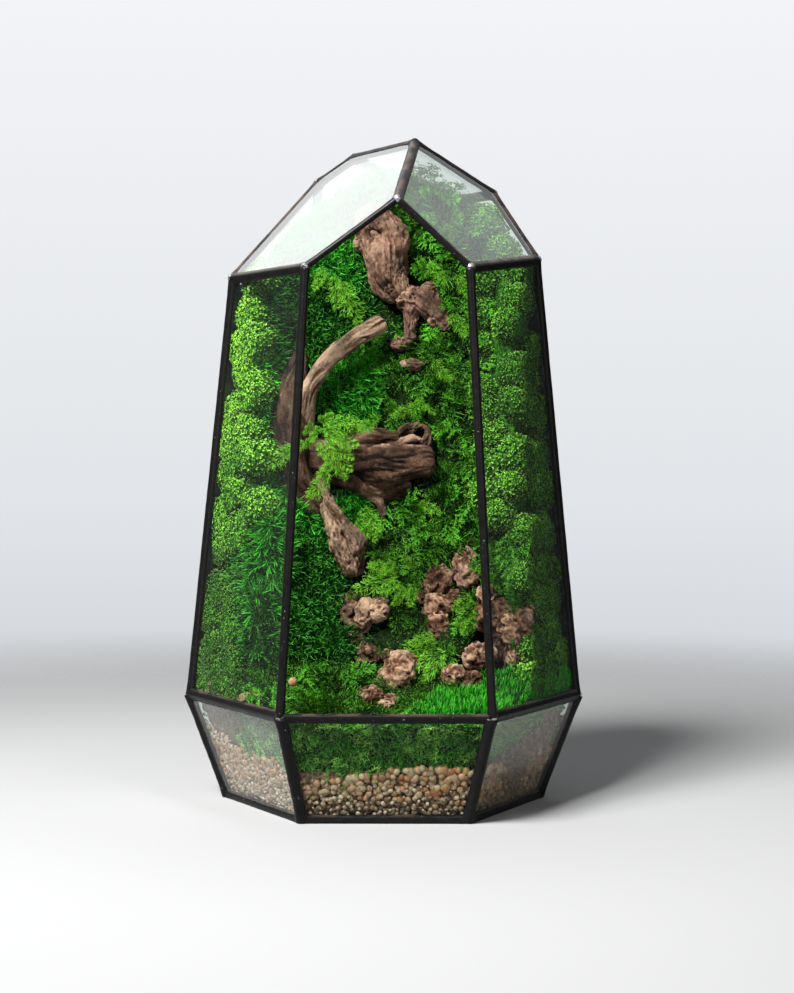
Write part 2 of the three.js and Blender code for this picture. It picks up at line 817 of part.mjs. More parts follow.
const placed = [];
for (const [name, each] of Object.entries(STONES)) {
  addNode(name, "stone", largest(cutBy(stone(each, 0), [woodRoom, ...placed])));
  placed.push(stone(each, GAP));
}

const mossTools = [soil(GAP), gravel(GAP), woodRoom, ...stoneRooms, stone(TUFT, GAP)];
for (const [name, each] of Object.entries(CUSHIONS))
  addNode(name, "moss_" + each.kind, largest(cutBy(cushion(each, 0).intersect(bedRoom), mossTools)));

const tuftTools = [soil(GAP), woodRoom, ...stoneRooms];
addNode("moss_tuft_left", "moss_needle", largest(cutBy(stone(TUFT, 0).intersect(bedRoom), tuftTools)));
const frondTools = [woodRoom, ...Object.values(CUSHIONS).map((each) => cushion(each, GAP))];
addNode("moss_draped_frond", "moss_feather", largest(cutBy(stone(FROND, 0), frondTools)));

export default part;
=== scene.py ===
"""A planted glass terrarium shaped like a quartz crystal, around the fixed CAD frame: soldered seams, glass,
driftwood, knobby stones, a gravel bed, a soil bank and cushions of four mosses.

Shapes are worked out in millimetres, +Z up, and put into the meshes in metres.
"""
import itertools

import bmesh
import bpy
import numpy as np
from mathutils import Matrix, Vector


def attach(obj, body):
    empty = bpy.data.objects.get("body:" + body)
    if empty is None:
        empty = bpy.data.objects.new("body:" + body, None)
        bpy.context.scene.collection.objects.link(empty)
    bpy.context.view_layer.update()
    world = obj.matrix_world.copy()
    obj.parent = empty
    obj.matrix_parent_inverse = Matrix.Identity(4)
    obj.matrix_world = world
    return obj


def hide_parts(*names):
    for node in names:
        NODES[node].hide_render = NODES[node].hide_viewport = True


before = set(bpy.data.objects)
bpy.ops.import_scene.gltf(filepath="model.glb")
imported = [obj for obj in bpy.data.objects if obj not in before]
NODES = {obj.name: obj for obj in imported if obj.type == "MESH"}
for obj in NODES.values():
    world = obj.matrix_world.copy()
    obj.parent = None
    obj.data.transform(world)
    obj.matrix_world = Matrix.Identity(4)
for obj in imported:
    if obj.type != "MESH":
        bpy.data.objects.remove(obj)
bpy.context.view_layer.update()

MM = 0.001
PALETTE_MAP = "OFBake"  # the UV map in which u is a piece's own tone and v runs from its root to its tip

# ---------------------------------------------------------------- the crystal's outline

BASE_RADIUS = 76.2
BELT_RADIUS = 95.0
TOP_RADIUS = 74.6
BASE_Z = 1.0
BELT_Z = 50.5
TOP_Z = 256.0
APEX = np.array([13.9, 7.3, 320.8])
ROOF = {"left": (210.3, 40.0), "right": (323.6, 47.5), "rear": (29.7, 25.8)}  # heading, tilt
CORNERS = {"right": 0, "rear_right": 60, "rear_left": 120, "left": 180, "front_left": 240, "front_right": 300}
SIDES = {
    "right_rear": ("right", "rear_right"),
    "rear": ("rear_right", "rear_left"),
    "left_rear": ("rear_left", "left"),
    "left_front": ("left", "front_left"),
    "front": ("front_left", "front_right"),
    "right_front": ("front_right", "right"),
}
REAR_SIDES = ("left_rear", "rear", "right_rear")
PEAKS = {"front": "peak_front", "right_rear": "peak_right", "rear": "peak_rear"}
OPEN_FACE = "upper_front"  # the only face without a pane
MIDDLE = np.array([0, 0, 130.0])

# The moss surface at mid width as (height, y), and its lining, which comes forward at both sides.
MOSS_PROFILE = np.array([
    (20, -68), (36, -72.5), (46, -75.5), (49, -66), (52, -54), (57, -43), (63, -34), (76, -24),
    (97, -16), (122, -10), (152, -5), (182, 0), (222, 6), (262, 13), (290, 22), (312, 32),
])
LINING_REACH, LINING_WIDTH, LINING_POWER, LINING_FROM, LINING_TO = 22, 80, 2.2, 50, 90


def unit(vectors):
    """Vectors divided by their lengths."""
    return vectors / np.maximum(np.linalg.norm(vectors, axis=-1, keepdims=True), 1e-12)


def smoothstep(value, low, high):
    """0 below low, 1 above high, and 3t^2 - 2t^3 between them."""
    t = np.clip((value - low) / (high - low), 0, 1)
    return t * t * (3 - 2 * t)


def corner_at(radius, corner, z):
    """The point at a corner's heading, a radius and a height."""
    heading = np.radians(CORNERS[corner])
    return np.array([radius * np.cos(heading), radius * np.sin(heading), z])


def side_plane(ends, radius0, z0, radius1, z1):
    """The outward normal and the offset of a side through two corners at one height and one at another."""
    a, b = corner_at(radius0, ends[0], z0), corner_at(radius0, ends[1], z0)
    c = corner_at(radius1, ends[0], z1)
    normal = unit(np.cross(b - a, c - a))
    normal = -normal if normal @ (np.array([0, 0, z0]) - a) > 0 else normal
    return normal, normal @ a


def roof_plane(heading, tilt):
    """The outward normal of a roof pane, which faces a heading at a tilt, and its offset through the apex."""
    heading, tilt = np.radians(heading), np.radians(tilt)
    normal = np.array([np.sin(tilt) * np.cos(heading), np.sin(tilt) * np.sin(heading), np.cos(tilt)])
    return normal, normal @ APEX


def meeting(*planes):
    """The point where three planes meet."""
    return np.linalg.solve(np.array([p[0] for p in planes]), np.array([p[1] for p in planes]))


LOWER = {side: side_plane(ends, BASE_RADIUS, BASE_Z, BELT_RADIUS, BELT_Z) for side, ends in SIDES.items()}
UPPER = {side: side_plane(ends, BELT_RADIUS, BELT_Z, TOP_RADIUS, TOP_Z) for side, ends in SIDES.items()}
ROOFS = {name: roof_plane(*turn) for name, turn in ROOF.items()}
SIDE_WALLS, ROOF_WALLS = [*LOWER.values(), *UPPER.values()], [*ROOFS.values()]
SHOULDER_ROOF = {"left": "left", "front_left": "left", "rear_left": "left",
                 "front_right": "right", "right": "right", "rear_right": "rear"}


def crystal_corners():
    """Every corner of the crystal, on the seams' centre lines."""
    corners = {}
    for name in CORNERS:
        a, b = (side for side in SIDES if name in SIDES[side])
        corners["base_" + name] = corner_at(BASE_RADIUS, name, BASE_Z)
        corners["belt_" + name] = corner_at(BELT_RADIUS, name, BELT_Z)
        corners["shoulder_" + name] = meeting(ROOFS[SHOULDER_ROOF[name]], UPPER[a], UPPER[b])
    corners["peak_front"] = meeting(ROOFS["left"], ROOFS["right"], UPPER["front"])
    corners["peak_right"] = meeting(ROOFS["right"], ROOFS["rear"], UPPER["right_rear"])
    corners["peak_rear"] = meeting(ROOFS["left"], ROOFS["rear"], UPPER["rear"])
    corners["apex"] = APEX
    return corners


CRYSTAL = crystal_corners()
OUTLINES = {"base": ["base_" + name for name in CORNERS]}
for side, (a, b) in SIDES.items():
    peak = [PEAKS[side]] if side in PEAKS else []
    OUTLINES["lower_" + side] = ["base_" + a, "base_" + b, "belt_" + b, "belt_" + a]
    OUTLINES["upper_" + side] = ["belt_" + a, "belt_" + b, "shoulder_" + b, *peak, "shoulder_" + a]
OUTLINES["roof_left"] = ["shoulder_left", "shoulder_front_left", "peak_front", "apex", "peak_rear",
                         "shoulder_rear_left"]
OUTLINES["roof_right"] = ["shoulder_front_right", "shoulder_right", "peak_right", "apex", "peak_front"]
OUTLINES["roof_rear"] = ["apex", "peak_right", "shoulder_rear_right", "peak_rear"]
BASE_ROOM = 1.4  # from the base plane up to the lowest point of what stands on the base pane


def press_back(points, wall, room):
    """Moves points straight back from a wall until they are the room inside its centre plane:
    p - max(0, n.p - (d - room)) n for a wall with normal n and offset d."""
    normal, offset = wall
    points -= np.maximum(points @ normal - (offset - room), 0)[..., None] * normal


def held_in(points, room):
    """A copy of the points, pressed back from every wall and lifted clear of the base pane."""
    held = points.copy()
    for wall in SIDE_WALLS + ROOF_WALLS:
        press_back(held, wall, room)
    held[..., 2] = np.maximum(held[..., 2], BASE_Z + BASE_ROOM)
    return held


def inside(points, side_room, roof_room):
    """True for each point that is at least the given rooms inside the crystal's sides and roof."""
    kept = np.ones(points.shape[:-1], bool)
    for walls, room in ((SIDE_WALLS, side_room), (ROOF_WALLS, roof_room)):
        for normal, offset in walls:
            kept &= points @ normal < offset - room
    return kept


def bank_front(x, z):
    """Depth y of the moss surface: its profile at that height, less the lining, 22 (|x| / 80)^2.2 above the
    floor."""
    lining = LINING_REACH * (np.abs(x) / LINING_WIDTH) ** LINING_POWER * smoothstep(z, LINING_FROM, LINING_TO)
    return np.interp(z, MOSS_PROFILE[:, 0], MOSS_PROFILE[:, 1]) - lining


# ---------------------------------------------------------------- random fields

TABLE_SIZE = 4096
RANDOM_TABLE = np.random.default_rng(11).uniform(-1, 1, TABLE_SIZE)
CELL_MIXERS = np.array([73856093, 19349663, 83492791])
SEED_MIXER = 40503
SEED_SHIFT = 17.17  # in cells, between the fields of two seeds
CUBE = np.array(list(itertools.product((0, 1), repeat=3)))


def lattice(cells, seed):
    """A fixed random number from -1 to 1 for each whole-numbered cell: its three numbers are mixed into one
    place in a table."""
    mixed = cells.astype(np.int64) * CELL_MIXERS
    mixed = mixed[..., 0] ^ mixed[..., 1] ^ mixed[..., 2] ^ (seed * SEED_MIXER)
    return RANDOM_TABLE[(mixed ^ (mixed >> 13)) & (TABLE_SIZE - 1)]


def clouds(points, size, seed, octaves=1):
    """A smooth random field from -1 to 1: lattice numbers a cell size apart, blended by 3t^2 - 2t^3 along
    each axis, with octaves at half the size and half the weight each."""
    total, weights = np.zeros(points.shape[:-1]), 0.0
    for octave in range(octaves):
        place = points / size * 2 ** octave + SEED_SHIFT * (seed + octave)
        cell = np.floor(place)
        part = place - cell
        part = part * part * (3 - 2 * part)
        for corner in CUBE:
            share = np.prod(np.where(corner == 1, part, 1 - part), axis=-1)
            total += 0.5 ** octave * share * lattice(cell + corner, seed + octave)
        weights += 0.5 ** octave
    return total / weights


def ridges(points, size, seed, octaves):
    """Thin ridges where a random field crosses 0: 1 - 2 |field|."""
    return 1 - 2 * np.abs(clouds(points, size, seed, octaves))


def warped(points, amount, size, seed, octaves=1):
    """Points shifted along x, y and z by an amount of one random field each."""
    return points + amount * np.stack([clouds(points, size, seed + k, octaves) for k in range(3)], -1)


# ---------------------------------------------------------------- meshes


def facing_out(points, faces):
    """The triangles, turned if the volume they enclose comes out negative."""
    a, b, c = (points[faces[:, k]] for k in range(3))
    return faces if np.einsum("ij,ij->", a, np.cross(b, c)) >= 0 else faces[:, ::-1]


def gathered(shapes):
    """Several (points, triangles) as one."""
    points, faces = zip(*shapes)
    starts = np.cumsum([0] + [len(p) for p in points[:-1]])
    return np.vstack(points), np.vstack([f + start for f, start in zip(faces, starts)])


def copies(placed, faces):
    """Placed copies of one form, an array of copies of points, as one shape."""
    count, corners = placed.shape[:2]
    all_faces = (faces[None] + (np.arange(count) * corners)[:, None, None]).reshape(-1, 3)
    points = placed.reshape(-1, 3)
    return points, facing_out(points, all_faces)


def globe(rows, columns):
    """Rings of latitude of the unit ball, evenly spaced between its poles."""
    polar = np.pi * (np.arange(rows) + 0.5) / rows
    turn = 2 * np.pi * np.arange(columns) / columns
    return np.stack([np.sin(polar)[:, None] * np.cos(turn), np.sin(polar)[:, None] * np.sin(turn),
                     np.cos(polar)[:, None] * np.ones(columns)], -1)


def wrapped(rings, poles=None):
    """A closed surface through an array of rings of points: neighbours in a ring and in the next ring are
    joined, and each end is closed by a fan to its pole, the ring's middle unless given."""
    count, sides = rings.shape[:2]
    first, last = poles if poles is not None else (rings[0].mean(0), rings[-1].mean(0))
    points = np.vstack([rings.reshape(-1, 3), first, last])
    grids = np.meshgrid(np.arange(count - 1), np.arange(sides), indexing="ij")
    ring, place = (grid.ravel() for grid in grids)
    a, b = ring * sides + place, ring * sides + (place + 1) % sides
    here = np.arange(sides)
    onward, end = (here + 1) % sides, (count - 1) * sides
    pole = np.full(sides, count * sides)
    corners = [(a, b, b + sides), (a, b + sides, a + sides),
               (pole, onward, here), (pole + 1, end + here, end + onward)]
    return points, facing_out(points, np.vstack([np.stack(triangle, 1) for triangle in corners]))


def piece(name, shape, finish, nodes=(), smooth=True, uv=None, marks=()):
    """One finished mesh object at the origin, from points in millimetres and triangles, riding on the
    body."""
    points, faces = shape
    mesh = bpy.data.meshes.new(name)
    mesh.vertices.add(len(points))
    mesh.vertices.foreach_set("co", (points * MM).astype(np.float32).ravel())
    mesh.loops.add(faces.size)
    mesh.loops.foreach_set("vertex_index", faces.astype(np.int32).ravel())
    mesh.polygons.add(len(faces))
    mesh.polygons.foreach_set("loop_start", np.arange(len(faces), dtype=np.int32) * 3)
    mesh.polygons.foreach_set("use_smooth", np.full(len(faces), smooth))
    mesh.update(calc_edges=True)
    for key, values in dict(marks).items():
        mesh.attributes.new(key, "FLOAT", "POINT").data.foreach_set("value", values.astype(np.float32))
    if uv is not None:
        layer = mesh.uv_layers.new(name=PALETTE_MAP)
        layer.data.foreach_set("uv", uv[faces.ravel()].astype(np.float32).ravel())
    mesh.materials.append(finish)
    made = bpy.data.objects.new(name, mesh)
    bpy.context.scene.collection.objects.link(made)
    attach(made, "root")
    if nodes:
        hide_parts(*nodes)
    return made


def recut(node, cell):
    """Points and triangles of a CAD node's skin, merged and cut anew into even cells of the given size."""
    draft = bpy.data.objects.new("draft", NODES[node].data.copy())
    bpy.context.scene.collection.objects.link(draft)
    loose = bmesh.new()
    loose.from_mesh(draft.data)
    bmesh.ops.remove_doubles(loose, verts=loose.verts, dist=1e-6)
    loose.to_mesh(draft.data)
    loose.free()
    cells = draft.modifiers.new("cells", "REMESH")
    cells.mode = "VOXEL"
    cells.voxel_size = cell * MM
    mesh = draft.evaluated_get(bpy.context.evaluated_depsgraph_get()).data
    mesh.calc_loop_triangles()
    points, faces = np.zeros(len(mesh.vertices) * 3), np.zeros(len(mesh.loop_triangles) * 3, np.int32)
    mesh.vertices.foreach_get("co", points)
    mesh.loop_triangles.foreach_get("vertices", faces)
    bpy.data.objects.remove(draft)
    return points.reshape(-1, 3) / MM, faces.reshape(-1, 3)


def vertex_normals(points, faces):
    """Unit sums of the area-weighted normals of the faces round each point."""
    a, b, c = (points[faces[:, k]] for k in range(3))
    flat = np.cross(b - a, c - a)
    total = np.stack([np.bincount(faces.ravel(), np.repeat(flat[:, k], 3), len(points)) for k in range(3)], 1)
    return unit(total)


def sown(points, faces, count, rng):
    """Random places spread evenly over a skin, and its smooth normals there."""
    a, b, c = (points[faces[:, k]] for k in range(3))
    area = np.linalg.norm(np.cross(b - a, c - a), axis=1)
    chosen = rng.choice(len(faces), count, p=area / area.sum())
    u, v = rng.random((2, count, 1))
    u, v = np.where(u + v > 1, 1 - u, u), np.where(u + v > 1, 1 - v, v)
    normals = vertex_normals(points, faces)[faces[chosen]]
    places = a[chosen] + u * (b - a)[chosen] + v * (c - a)[chosen]
    return places, unit((1 - u - v) * normals[:, 0] + u * normals[:, 1] + v * normals[:, 2])


def spaced(places, gap):
    """Indices of places taken in order, leaving out each that is closer than the gap to one already taken."""
    taken = []
    for index in range(len(places)):
        if not taken or np.min(np.sum((places[taken] - places[index]) ** 2, 1)) > gap * gap:
            taken.append(index)
    return np.array(taken)


# ---------------------------------------------------------------- materials


def maths(operation, swapped=False):
    """A method that adds a Math node for an operation on a value and another one, or the other way round."""

    def method(self, other):
        """Adds the node."""
        first, second = (other, self) if swapped else (self, other)
        return self.finish.node("ShaderNodeMath", {"operation": operation}, {0: first, 1: second})

    return method


class Value:
    """What a socket gives inside a finish. Sums, differences, products and powers of values add Math
    nodes."""

    def __init__(self, finish, socket):
        self.finish, self.socket = finish, socket

    __add__, __radd__ = maths("ADD"), maths("ADD", True)
    __sub__, __rsub__ = maths("SUBTRACT"), maths("SUBTRACT", True)
    __mul__, __rmul__ = maths("MULTIPLY"), maths("MULTIPLY", True)
    __pow__ = maths("POWER")


class Finish:
    """A material and its node tree."""

    def __init__(self, name):
        self.material = bpy.data.materials.new(name)
        self.material.use_nodes = True
        self.tree = self.material.node_tree
        self.tree.nodes.clear()

    def node(self, kind, settings=(), inputs=(), out=0):
        """Adds a node of a type, sets it, and then sets or links its inputs. A ramp's stops count as a
        setting."""
        made = self.tree.nodes.new(kind)
        for key, value in dict(settings).items():
            if key == "stops":
                ramp = made.color_ramp.elements
                while len(ramp) < len(value):
                    ramp.new(0.5)
                for stop, (position, colour) in zip(ramp, value):
                    stop.position, stop.color = position, (*colour, 1)
            else:
                setattr(made, key, value)
        for key, value in dict(inputs).items():
            if isinstance(value, Value):
                self.tree.links.new(value.socket, made.inputs[key])
            else:
                socket = made.inputs[key]
                socket.default_value = (*value, 1) if socket.type == "RGBA" else value
        return Value(self, made.outputs[out])

    def places(self):
        """Each point's place on the object, in metres."""
        return self.node("ShaderNodeTexCoord", out="Object")

    def part(self, vector, axis):
        """One of a vector's three numbers."""
        return self.node("ShaderNodeSeparateXYZ", {}, {0: vector}, out=axis)

    def grain(self, size, detail, rough=0.5, stretch=None):
        """Noise of about the given size in millimetres, from 0 to 1, on the object's own coordinates."""
        where = self.places()
        if stretch:
            where = self.node("ShaderNodeMapping", {}, {"Vector": where, "Scale": stretch})
        return self.node("ShaderNodeTexNoise", {}, {"Vector": where, "Scale": 1 / (size * MM),
                                                    "Detail": detail, "Roughness": rough})

    def ramp(self, value, *stops):
        """A colour for the value, blended between stops, each a position and a colour."""
        return self.node("ShaderNodeValToRGB", {"stops": stops}, {0: value})

    def mask(self, value, low, high):
        """0 below low, 1 above high, and 3t^2 - 2t^3 between them."""
        return self.node("ShaderNodeMapRange", {"interpolation_type": "SMOOTHSTEP"},
                         {"Value": value, "From Min": low, "From Max": high})

    def palette(self, tones):
        """The colour of a piece's own tone, along u of its palette map, and the place from root to tip, v."""
        place = self.node("ShaderNodeUVMap", {"uv_map": PALETTE_MAP})
        tone, along = self.part(place, "X"), self.part(place, "Y")
        return self.ramp(tone, *[(k / (len(tones) - 1), colour) for k, colour in enumerate(tones)]), along

    def mixed(self, factor, first, second):
        """The first colour, blended towards the second by the factor."""
        return self.node("ShaderNodeMix", {"data_type": "RGBA"}, {0: factor, 6: first, 7: second}, out=2)

    def mark(self, name):
        """A number that the mesh carries at each of its points."""
        return self.node("ShaderNodeAttribute", {"attribute_name": name}, out="Fac")

    def bump(self, height, strength, depth):
        """A normal raised by height, whose full range stands for a depth in millimetres."""
        return self.node("ShaderNodeBump", {}, {"Height": height, "Strength": strength,
                                                "Distance": depth * MM})

    def done(self, shader):
        """Puts the shader on the surface and gives the material."""
        out = self.tree.nodes.new("ShaderNodeOutputMaterial")
        self.tree.links.new(shader.socket, out.inputs["Surface"])
        return self.material

    def solid(self, **inputs):
        """Closes the finish with a Principled shader; an underscore in a name stands for a space."""
        named = {key.replace("_", " "): value for key, value in inputs.items()}
        return self.done(self.node("ShaderNodeBsdfPrincipled", {}, named))


def glass_finish(name, haze, even=0.45):
    """Clear float glass: each face mirrors by Schlick's rule, 0.004 + 0.996 (1 - cosine)^5, and lets the rest
    through with a faint green cast. A little dust, partly even and partly in patches, thinner near the floor,
    scatters light."""
    f = Finish(name)
    facing = f.node("ShaderNodeLayerWeight", {}, {"Blend": 0.5}, out="Facing")
    mirror = 0.004 + 0.996 * facing ** 5
    clear = f.node("ShaderNodeBsdfTransparent", {}, {"Color": (0.965, 0.99, 0.975)})
    gloss = f.node("ShaderNodeBsdfGlossy", {}, {"Color": (1, 1, 1), "Roughness": 0.015})
    dust = f.node("ShaderNodeBsdfDiffuse", {}, {"Color": (0.74, 0.75, 0.7)})
    height = f.part(f.places(), "Z")
    patches = even + (1 - even) * f.mask(f.grain(28, 4, 0.6), 0.3, 0.75)
    patches = patches + 0.7 * f.mask(f.grain(0.9, 2), 0.68, 0.8)
    patches = patches * haze * (0.25 + 0.75 * f.mask(height, 0.022, 0.05))
    veiled = f.node("ShaderNodeMixShader", {}, {0: patches, 1: clear, 2: dust})
    return f.done(f.node("ShaderNodeMixShader", {}, {0: mirror, 1: veiled, 2: gloss}))


def solder_finish():
    """Solder under a black patina: nearly black, with a painted warm brown sheen in patches where it faces
    up, with bare silver on the worn marks and in small specks, and a slightly rippled skin."""
    f = Finish("patinated_solder")
    up = f.part(f.node("ShaderNodeNewGeometry", out="Normal"), "Z")
    # Up-facing tops are tinted warm brown in patches: a painted reflection.
    painted_top_sheen = f.mask(up, 0.35, 0.95) * f.mask(f.grain(9, 3), 0.38, 0.6)
    bare = f.mask(f.grain(1.3, 3, 0.6) + 0.3 * f.mark("worn"), 0.69, 0.78)
    black = f.mixed(f.grain(4, 3), (0.002, 0.002, 0.002), (0.009, 0.008, 0.008))
    colour = f.mixed(bare, f.mixed(painted_top_sheen, black, (0.05, 0.031, 0.023)), (0.42, 0.42, 0.44))
    return f.solid(Base_Color=colour, Metallic=0.05 + 0.85 * bare, Roughness=0.24 + 0.22 * f.grain(3, 2),
                   Specular_IOR_Level=0.1, Normal=f.bump(f.grain(2.2, 3, 0.55), 0.35, 0.35))


def leaf_finish(name, tones, tip):
    """Moss leaves: the tone runs along u, and along v the leaf runs from a near-black root, partly its own
    darker base and partly painted shade deep in the tuft, to a lighter tip.
    """
    f = Finish(name)
    body, along = f.palette(tones)
    # The near-black root is partly the leaf's own darker base and partly painted shade deep in the moss.
    root_shaded = f.mixed(f.mask(along, 0.05, 0.6) * 0.85 + 0.15, (0.002, 0.008, 0.001), body)
    colour = f.mixed(f.mask(along, 0.55, 1.0) * 0.55, root_shaded, tip)
    return f.solid(Base_Color=colour, Roughness=0.5, Specular_IOR_Level=0.04)


def mat_finish(name, dark, light):
    """The felt of old stems under the moss leaves."""
    f = Finish(name)
    return f.solid(Base_Color=f.mixed(f.mask(f.grain(1.2, 3, 0.6), 0.38, 0.64), dark, light), Roughness=0.9,
                   Specular_IOR_Level=0.1, Normal=f.bump(f.grain(0.8, 3), 0.9, 0.8))


def foil_finish():
    """Slate-coloured foil inside the rear corners, mottled, with a row of bright worn dots."""
    f = Finish("inner_foil")
    dots = f.mask(f.grain(1.0, 2), 0.6, 0.7) * f.mark("worn")
    colour = f.mixed(f.mask(f.grain(5, 4, 0.6), 0.35, 0.7), (0.06, 0.08, 0.095), (0.17, 0.21, 0.24))
    return f.solid(Base_Color=f.mixed(dots, colour, (0.55, 0.57, 0.6)), Metallic=0.3, Roughness=0.5,
                   Normal=f.bump(f.grain(1.6, 3, 0.6), 0.4, 0.3))


def wood_finish(name, groove, body, worn):
    """Weathered root wood or nodules: darkened by painted shade in grooves and cavities, paler on ridges
    partly from wear and partly as a painted highlight, stained in broad patches."""
    f = Finish(name)
    relief, thread = f.mark("relief"), f.mark("fibre")
    grain = f.grain(1.1, 5, 0.7)
    height = relief + 0.8 * (grain - 0.5) + 0.1 * (thread - 0.5)
    # Low relief, the painted shade of hollows, is dark; high relief, partly wear and partly a painted
    # highlight, is pale.
    colour = f.ramp(height, (0.08, groove), (0.42, body), (0.8, worn))
    stained = f.mixed(f.mask(f.grain(13, 3), 0.48, 0.66) * 0.6, colour, tuple(0.5 * c for c in groove))
    return f.solid(Base_Color=stained, Roughness=0.7 + 0.25 * f.grain(2, 2), Specular_IOR_Level=0.15,
                   Normal=f.bump(f.grain(0.5, 4, 0.7) + 0.7 * f.grain(1.5, 3, 0.6), 1.0, 1.0))


def grain_finish(name, tones, roughness, pale=(0.58, 0.45, 0.31), floor_shade=0.0):
    """Pebbles or crumbs: a tone of their own along u, mottled along v, and darkened toward the floor as
    painted shade.
    """
    f = Finish(name)
    body, along = f.palette(tones)
    colour = f.mixed(f.mask(along, 0.35, 0.75) * 0.3, body, pale)
    if floor_shade:
        height = f.part(f.places(), "Z")
        # Near the floor the colour is drawn to a dull dark brown: painted shade.
        colour = f.mixed(floor_shade - floor_shade * f.mask(height, 0.004, 0.012), colour, (0.105, 0.082, 0.056))
    return f.solid(Base_Color=colour, Roughness=roughness, Specular_IOR_Level=0.3)


def soil_finish():
    """Crumbly dark potting soil with paler bits and fibres."""
    f = Finish("potting_soil")
    colour = f.ramp(f.grain(1.6, 5, 0.7), (0.3, (0.024, 0.014, 0.008)), (0.52, (0.1, 0.056, 0.03)),
                    (0.7, (0.24, 0.145, 0.082)))
    fibres = f.mask(f.grain(1.4, 3, 0.6, stretch=(1, 1, 0.18)), 0.62, 0.7) * 0.6
    colour = f.mixed(fibres, colour, (0.2, 0.13, 0.075))
    return f.solid(Base_Color=colour, Roughness=0.9, Normal=f.bump(f.grain(1.1, 4, 0.7), 0.9, 0.9))


GLASS = {"clear": glass_finish("clear_glass", 0.003), "misty": glass_finish("misty_glass", 0.016),
         "dusty": glass_finish("dusty_glass", 0.075), "milky": glass_finish("milky_glass", 0.06, 0.75)}
GLASS_OF = {"lower_pane_left_front": "dusty", "lower_pane_right_front": "misty", "roof_pane_right": "misty",
            "roof_pane_left": "milky"}
SOLDER = solder_finish()
FOIL = foil_finish()
# The felts are dark, the moss felt nearly black: partly the old stems' own colour and partly painted shade in
# the gaps and crevices under the leaves.
FELT = mat_finish("moss_felt", (0.002, 0.006, 0.001), (0.006, 0.02, 0.003))
BUN_FELT = mat_finish("bun_moss_felt", (0.003, 0.022, 0.001), (0.03, 0.13, 0.006))
BUN_LEAF = leaf_finish("bun_moss_leaf", [(0.003, 0.04, 0.001), (0.048, 0.2, 0.006), (0.22, 0.5, 0.03)],
                       (0.42, 0.66, 0.16))
NEEDLE_LEAF = leaf_finish("needle_moss_leaf", [(0.002, 0.035, 0.002), (0.008, 0.12, 0.005),
                                               (0.035, 0.36, 0.016)], (0.16, 0.7, 0.07))
FEATHER_LEAF = leaf_finish("feather_moss_leaf", [(0.002, 0.016, 0.001), (0.012, 0.075, 0.003),
                                                 (0.06, 0.3, 0.01)], (0.24, 0.62, 0.05))
FROND_LEAF = leaf_finish("bright_feather_leaf", [(0.02, 0.09, 0.003), (0.07, 0.24, 0.008), (0.2, 0.48, 0.02)],
                         (0.42, 0.76, 0.08))
# The hanging moss's leaves are painted lighter, with very pale green tips, to stand in for light that hardly
# reaches the hem: painted light.
HEM_LEAF = leaf_finish("hanging_moss_leaf", [(0.005, 0.03, 0.002), (0.04, 0.19, 0.012), (0.24, 0.56, 0.07)],
                       (0.6, 0.95, 0.25))
GRASS_LEAF = leaf_finish("grass_moss_leaf", [(0.002, 0.1, 0.002), (0.01, 0.26, 0.006), (0.045, 0.48, 0.018)],
                         (0.2, 0.7, 0.09))
ROOT_WOOD = wood_finish("root_wood", (0.016, 0.008, 0.005), (0.1, 0.052, 0.03), (0.38, 0.25, 0.165))
RED_WOOD = wood_finish("red_root_wood", (0.022, 0.01, 0.006), (0.13, 0.063, 0.04), (0.32, 0.19, 0.13))
KNOBBY_STONE = wood_finish("craggy_stone", (0.014, 0.006, 0.0035), (0.12, 0.056, 0.03), (0.42, 0.275, 0.175))
PEBBLE = grain_finish("drainage_pebble", [(0.26, 0.085, 0.034), (0.31, 0.15, 0.058), (0.2, 0.105, 0.048),
                                          (0.38, 0.26, 0.14), (0.12, 0.07, 0.038), (0.31, 0.11, 0.042),
                                          (0.26, 0.2, 0.12), (0.35, 0.17, 0.066), (0.16, 0.086, 0.042)], 0.35,
                      floor_shade=0.8)
GRIT = grain_finish("pink_grit", [(0.2, 0.12, 0.09), (0.34, 0.21, 0.15), (0.45, 0.33, 0.26),
                                  (0.09, 0.055, 0.04), (0.4, 0.26, 0.18), (0.5, 0.42, 0.34)], 0.6)
CRUMB = grain_finish("soil_crumb", [(0.06, 0.034, 0.018), (0.13, 0.075, 0.04), (0.2, 0.125, 0.072),
                                    (0.32, 0.21, 0.13)], 0.85, (0.3, 0.19, 0.115))
FINES = mat_finish("gravel_fines", (0.05, 0.03, 0.018), (0.2, 0.125, 0.075))
SOIL = soil_finish()

# ---------------------------------------------------------------- glass

for name, node in NODES.items():
    if "_pane" in name:
        node.data.materials.clear()
        node.data.materials.append(GLASS[GLASS_OF.get(name, "clear")])

# ---------------------------------------------------------------- solder seams

SEAM_SIDES = 24  # points round a bead
SEAM_STEP = 1.6  # from ring to ring along a bead
LIP = 1.27  # half the thickness of the solder where it laps onto a pane
BASE_BEAD, BELT_BEAD, LOWER_BEAD, UPPER_BEAD = 2.1, 1.7, 2.4, 1.5
OPENING_BEAD, ROOF_BEAD, RIDGE_BEAD = 1.95, 1.5, 1.7
LAP = 2.9  # how far the solder laps onto a pane from the seam line
INNER_LAP = 6.2  # at the side corners it laps further onto the rear panes
BLEND = 6  # power of the soft maximum of bead and lips
SWELL, SWELL_REACH = 0.16, 4.5  # of a bead towards its ends
BLOB = 2.1  # least radius of a blob of solder on a rim


def face_middle(face):
    """The mean of a face's corners."""
    return np.mean([CRYSTAL[name] for name in OUTLINES[face]], axis=0)


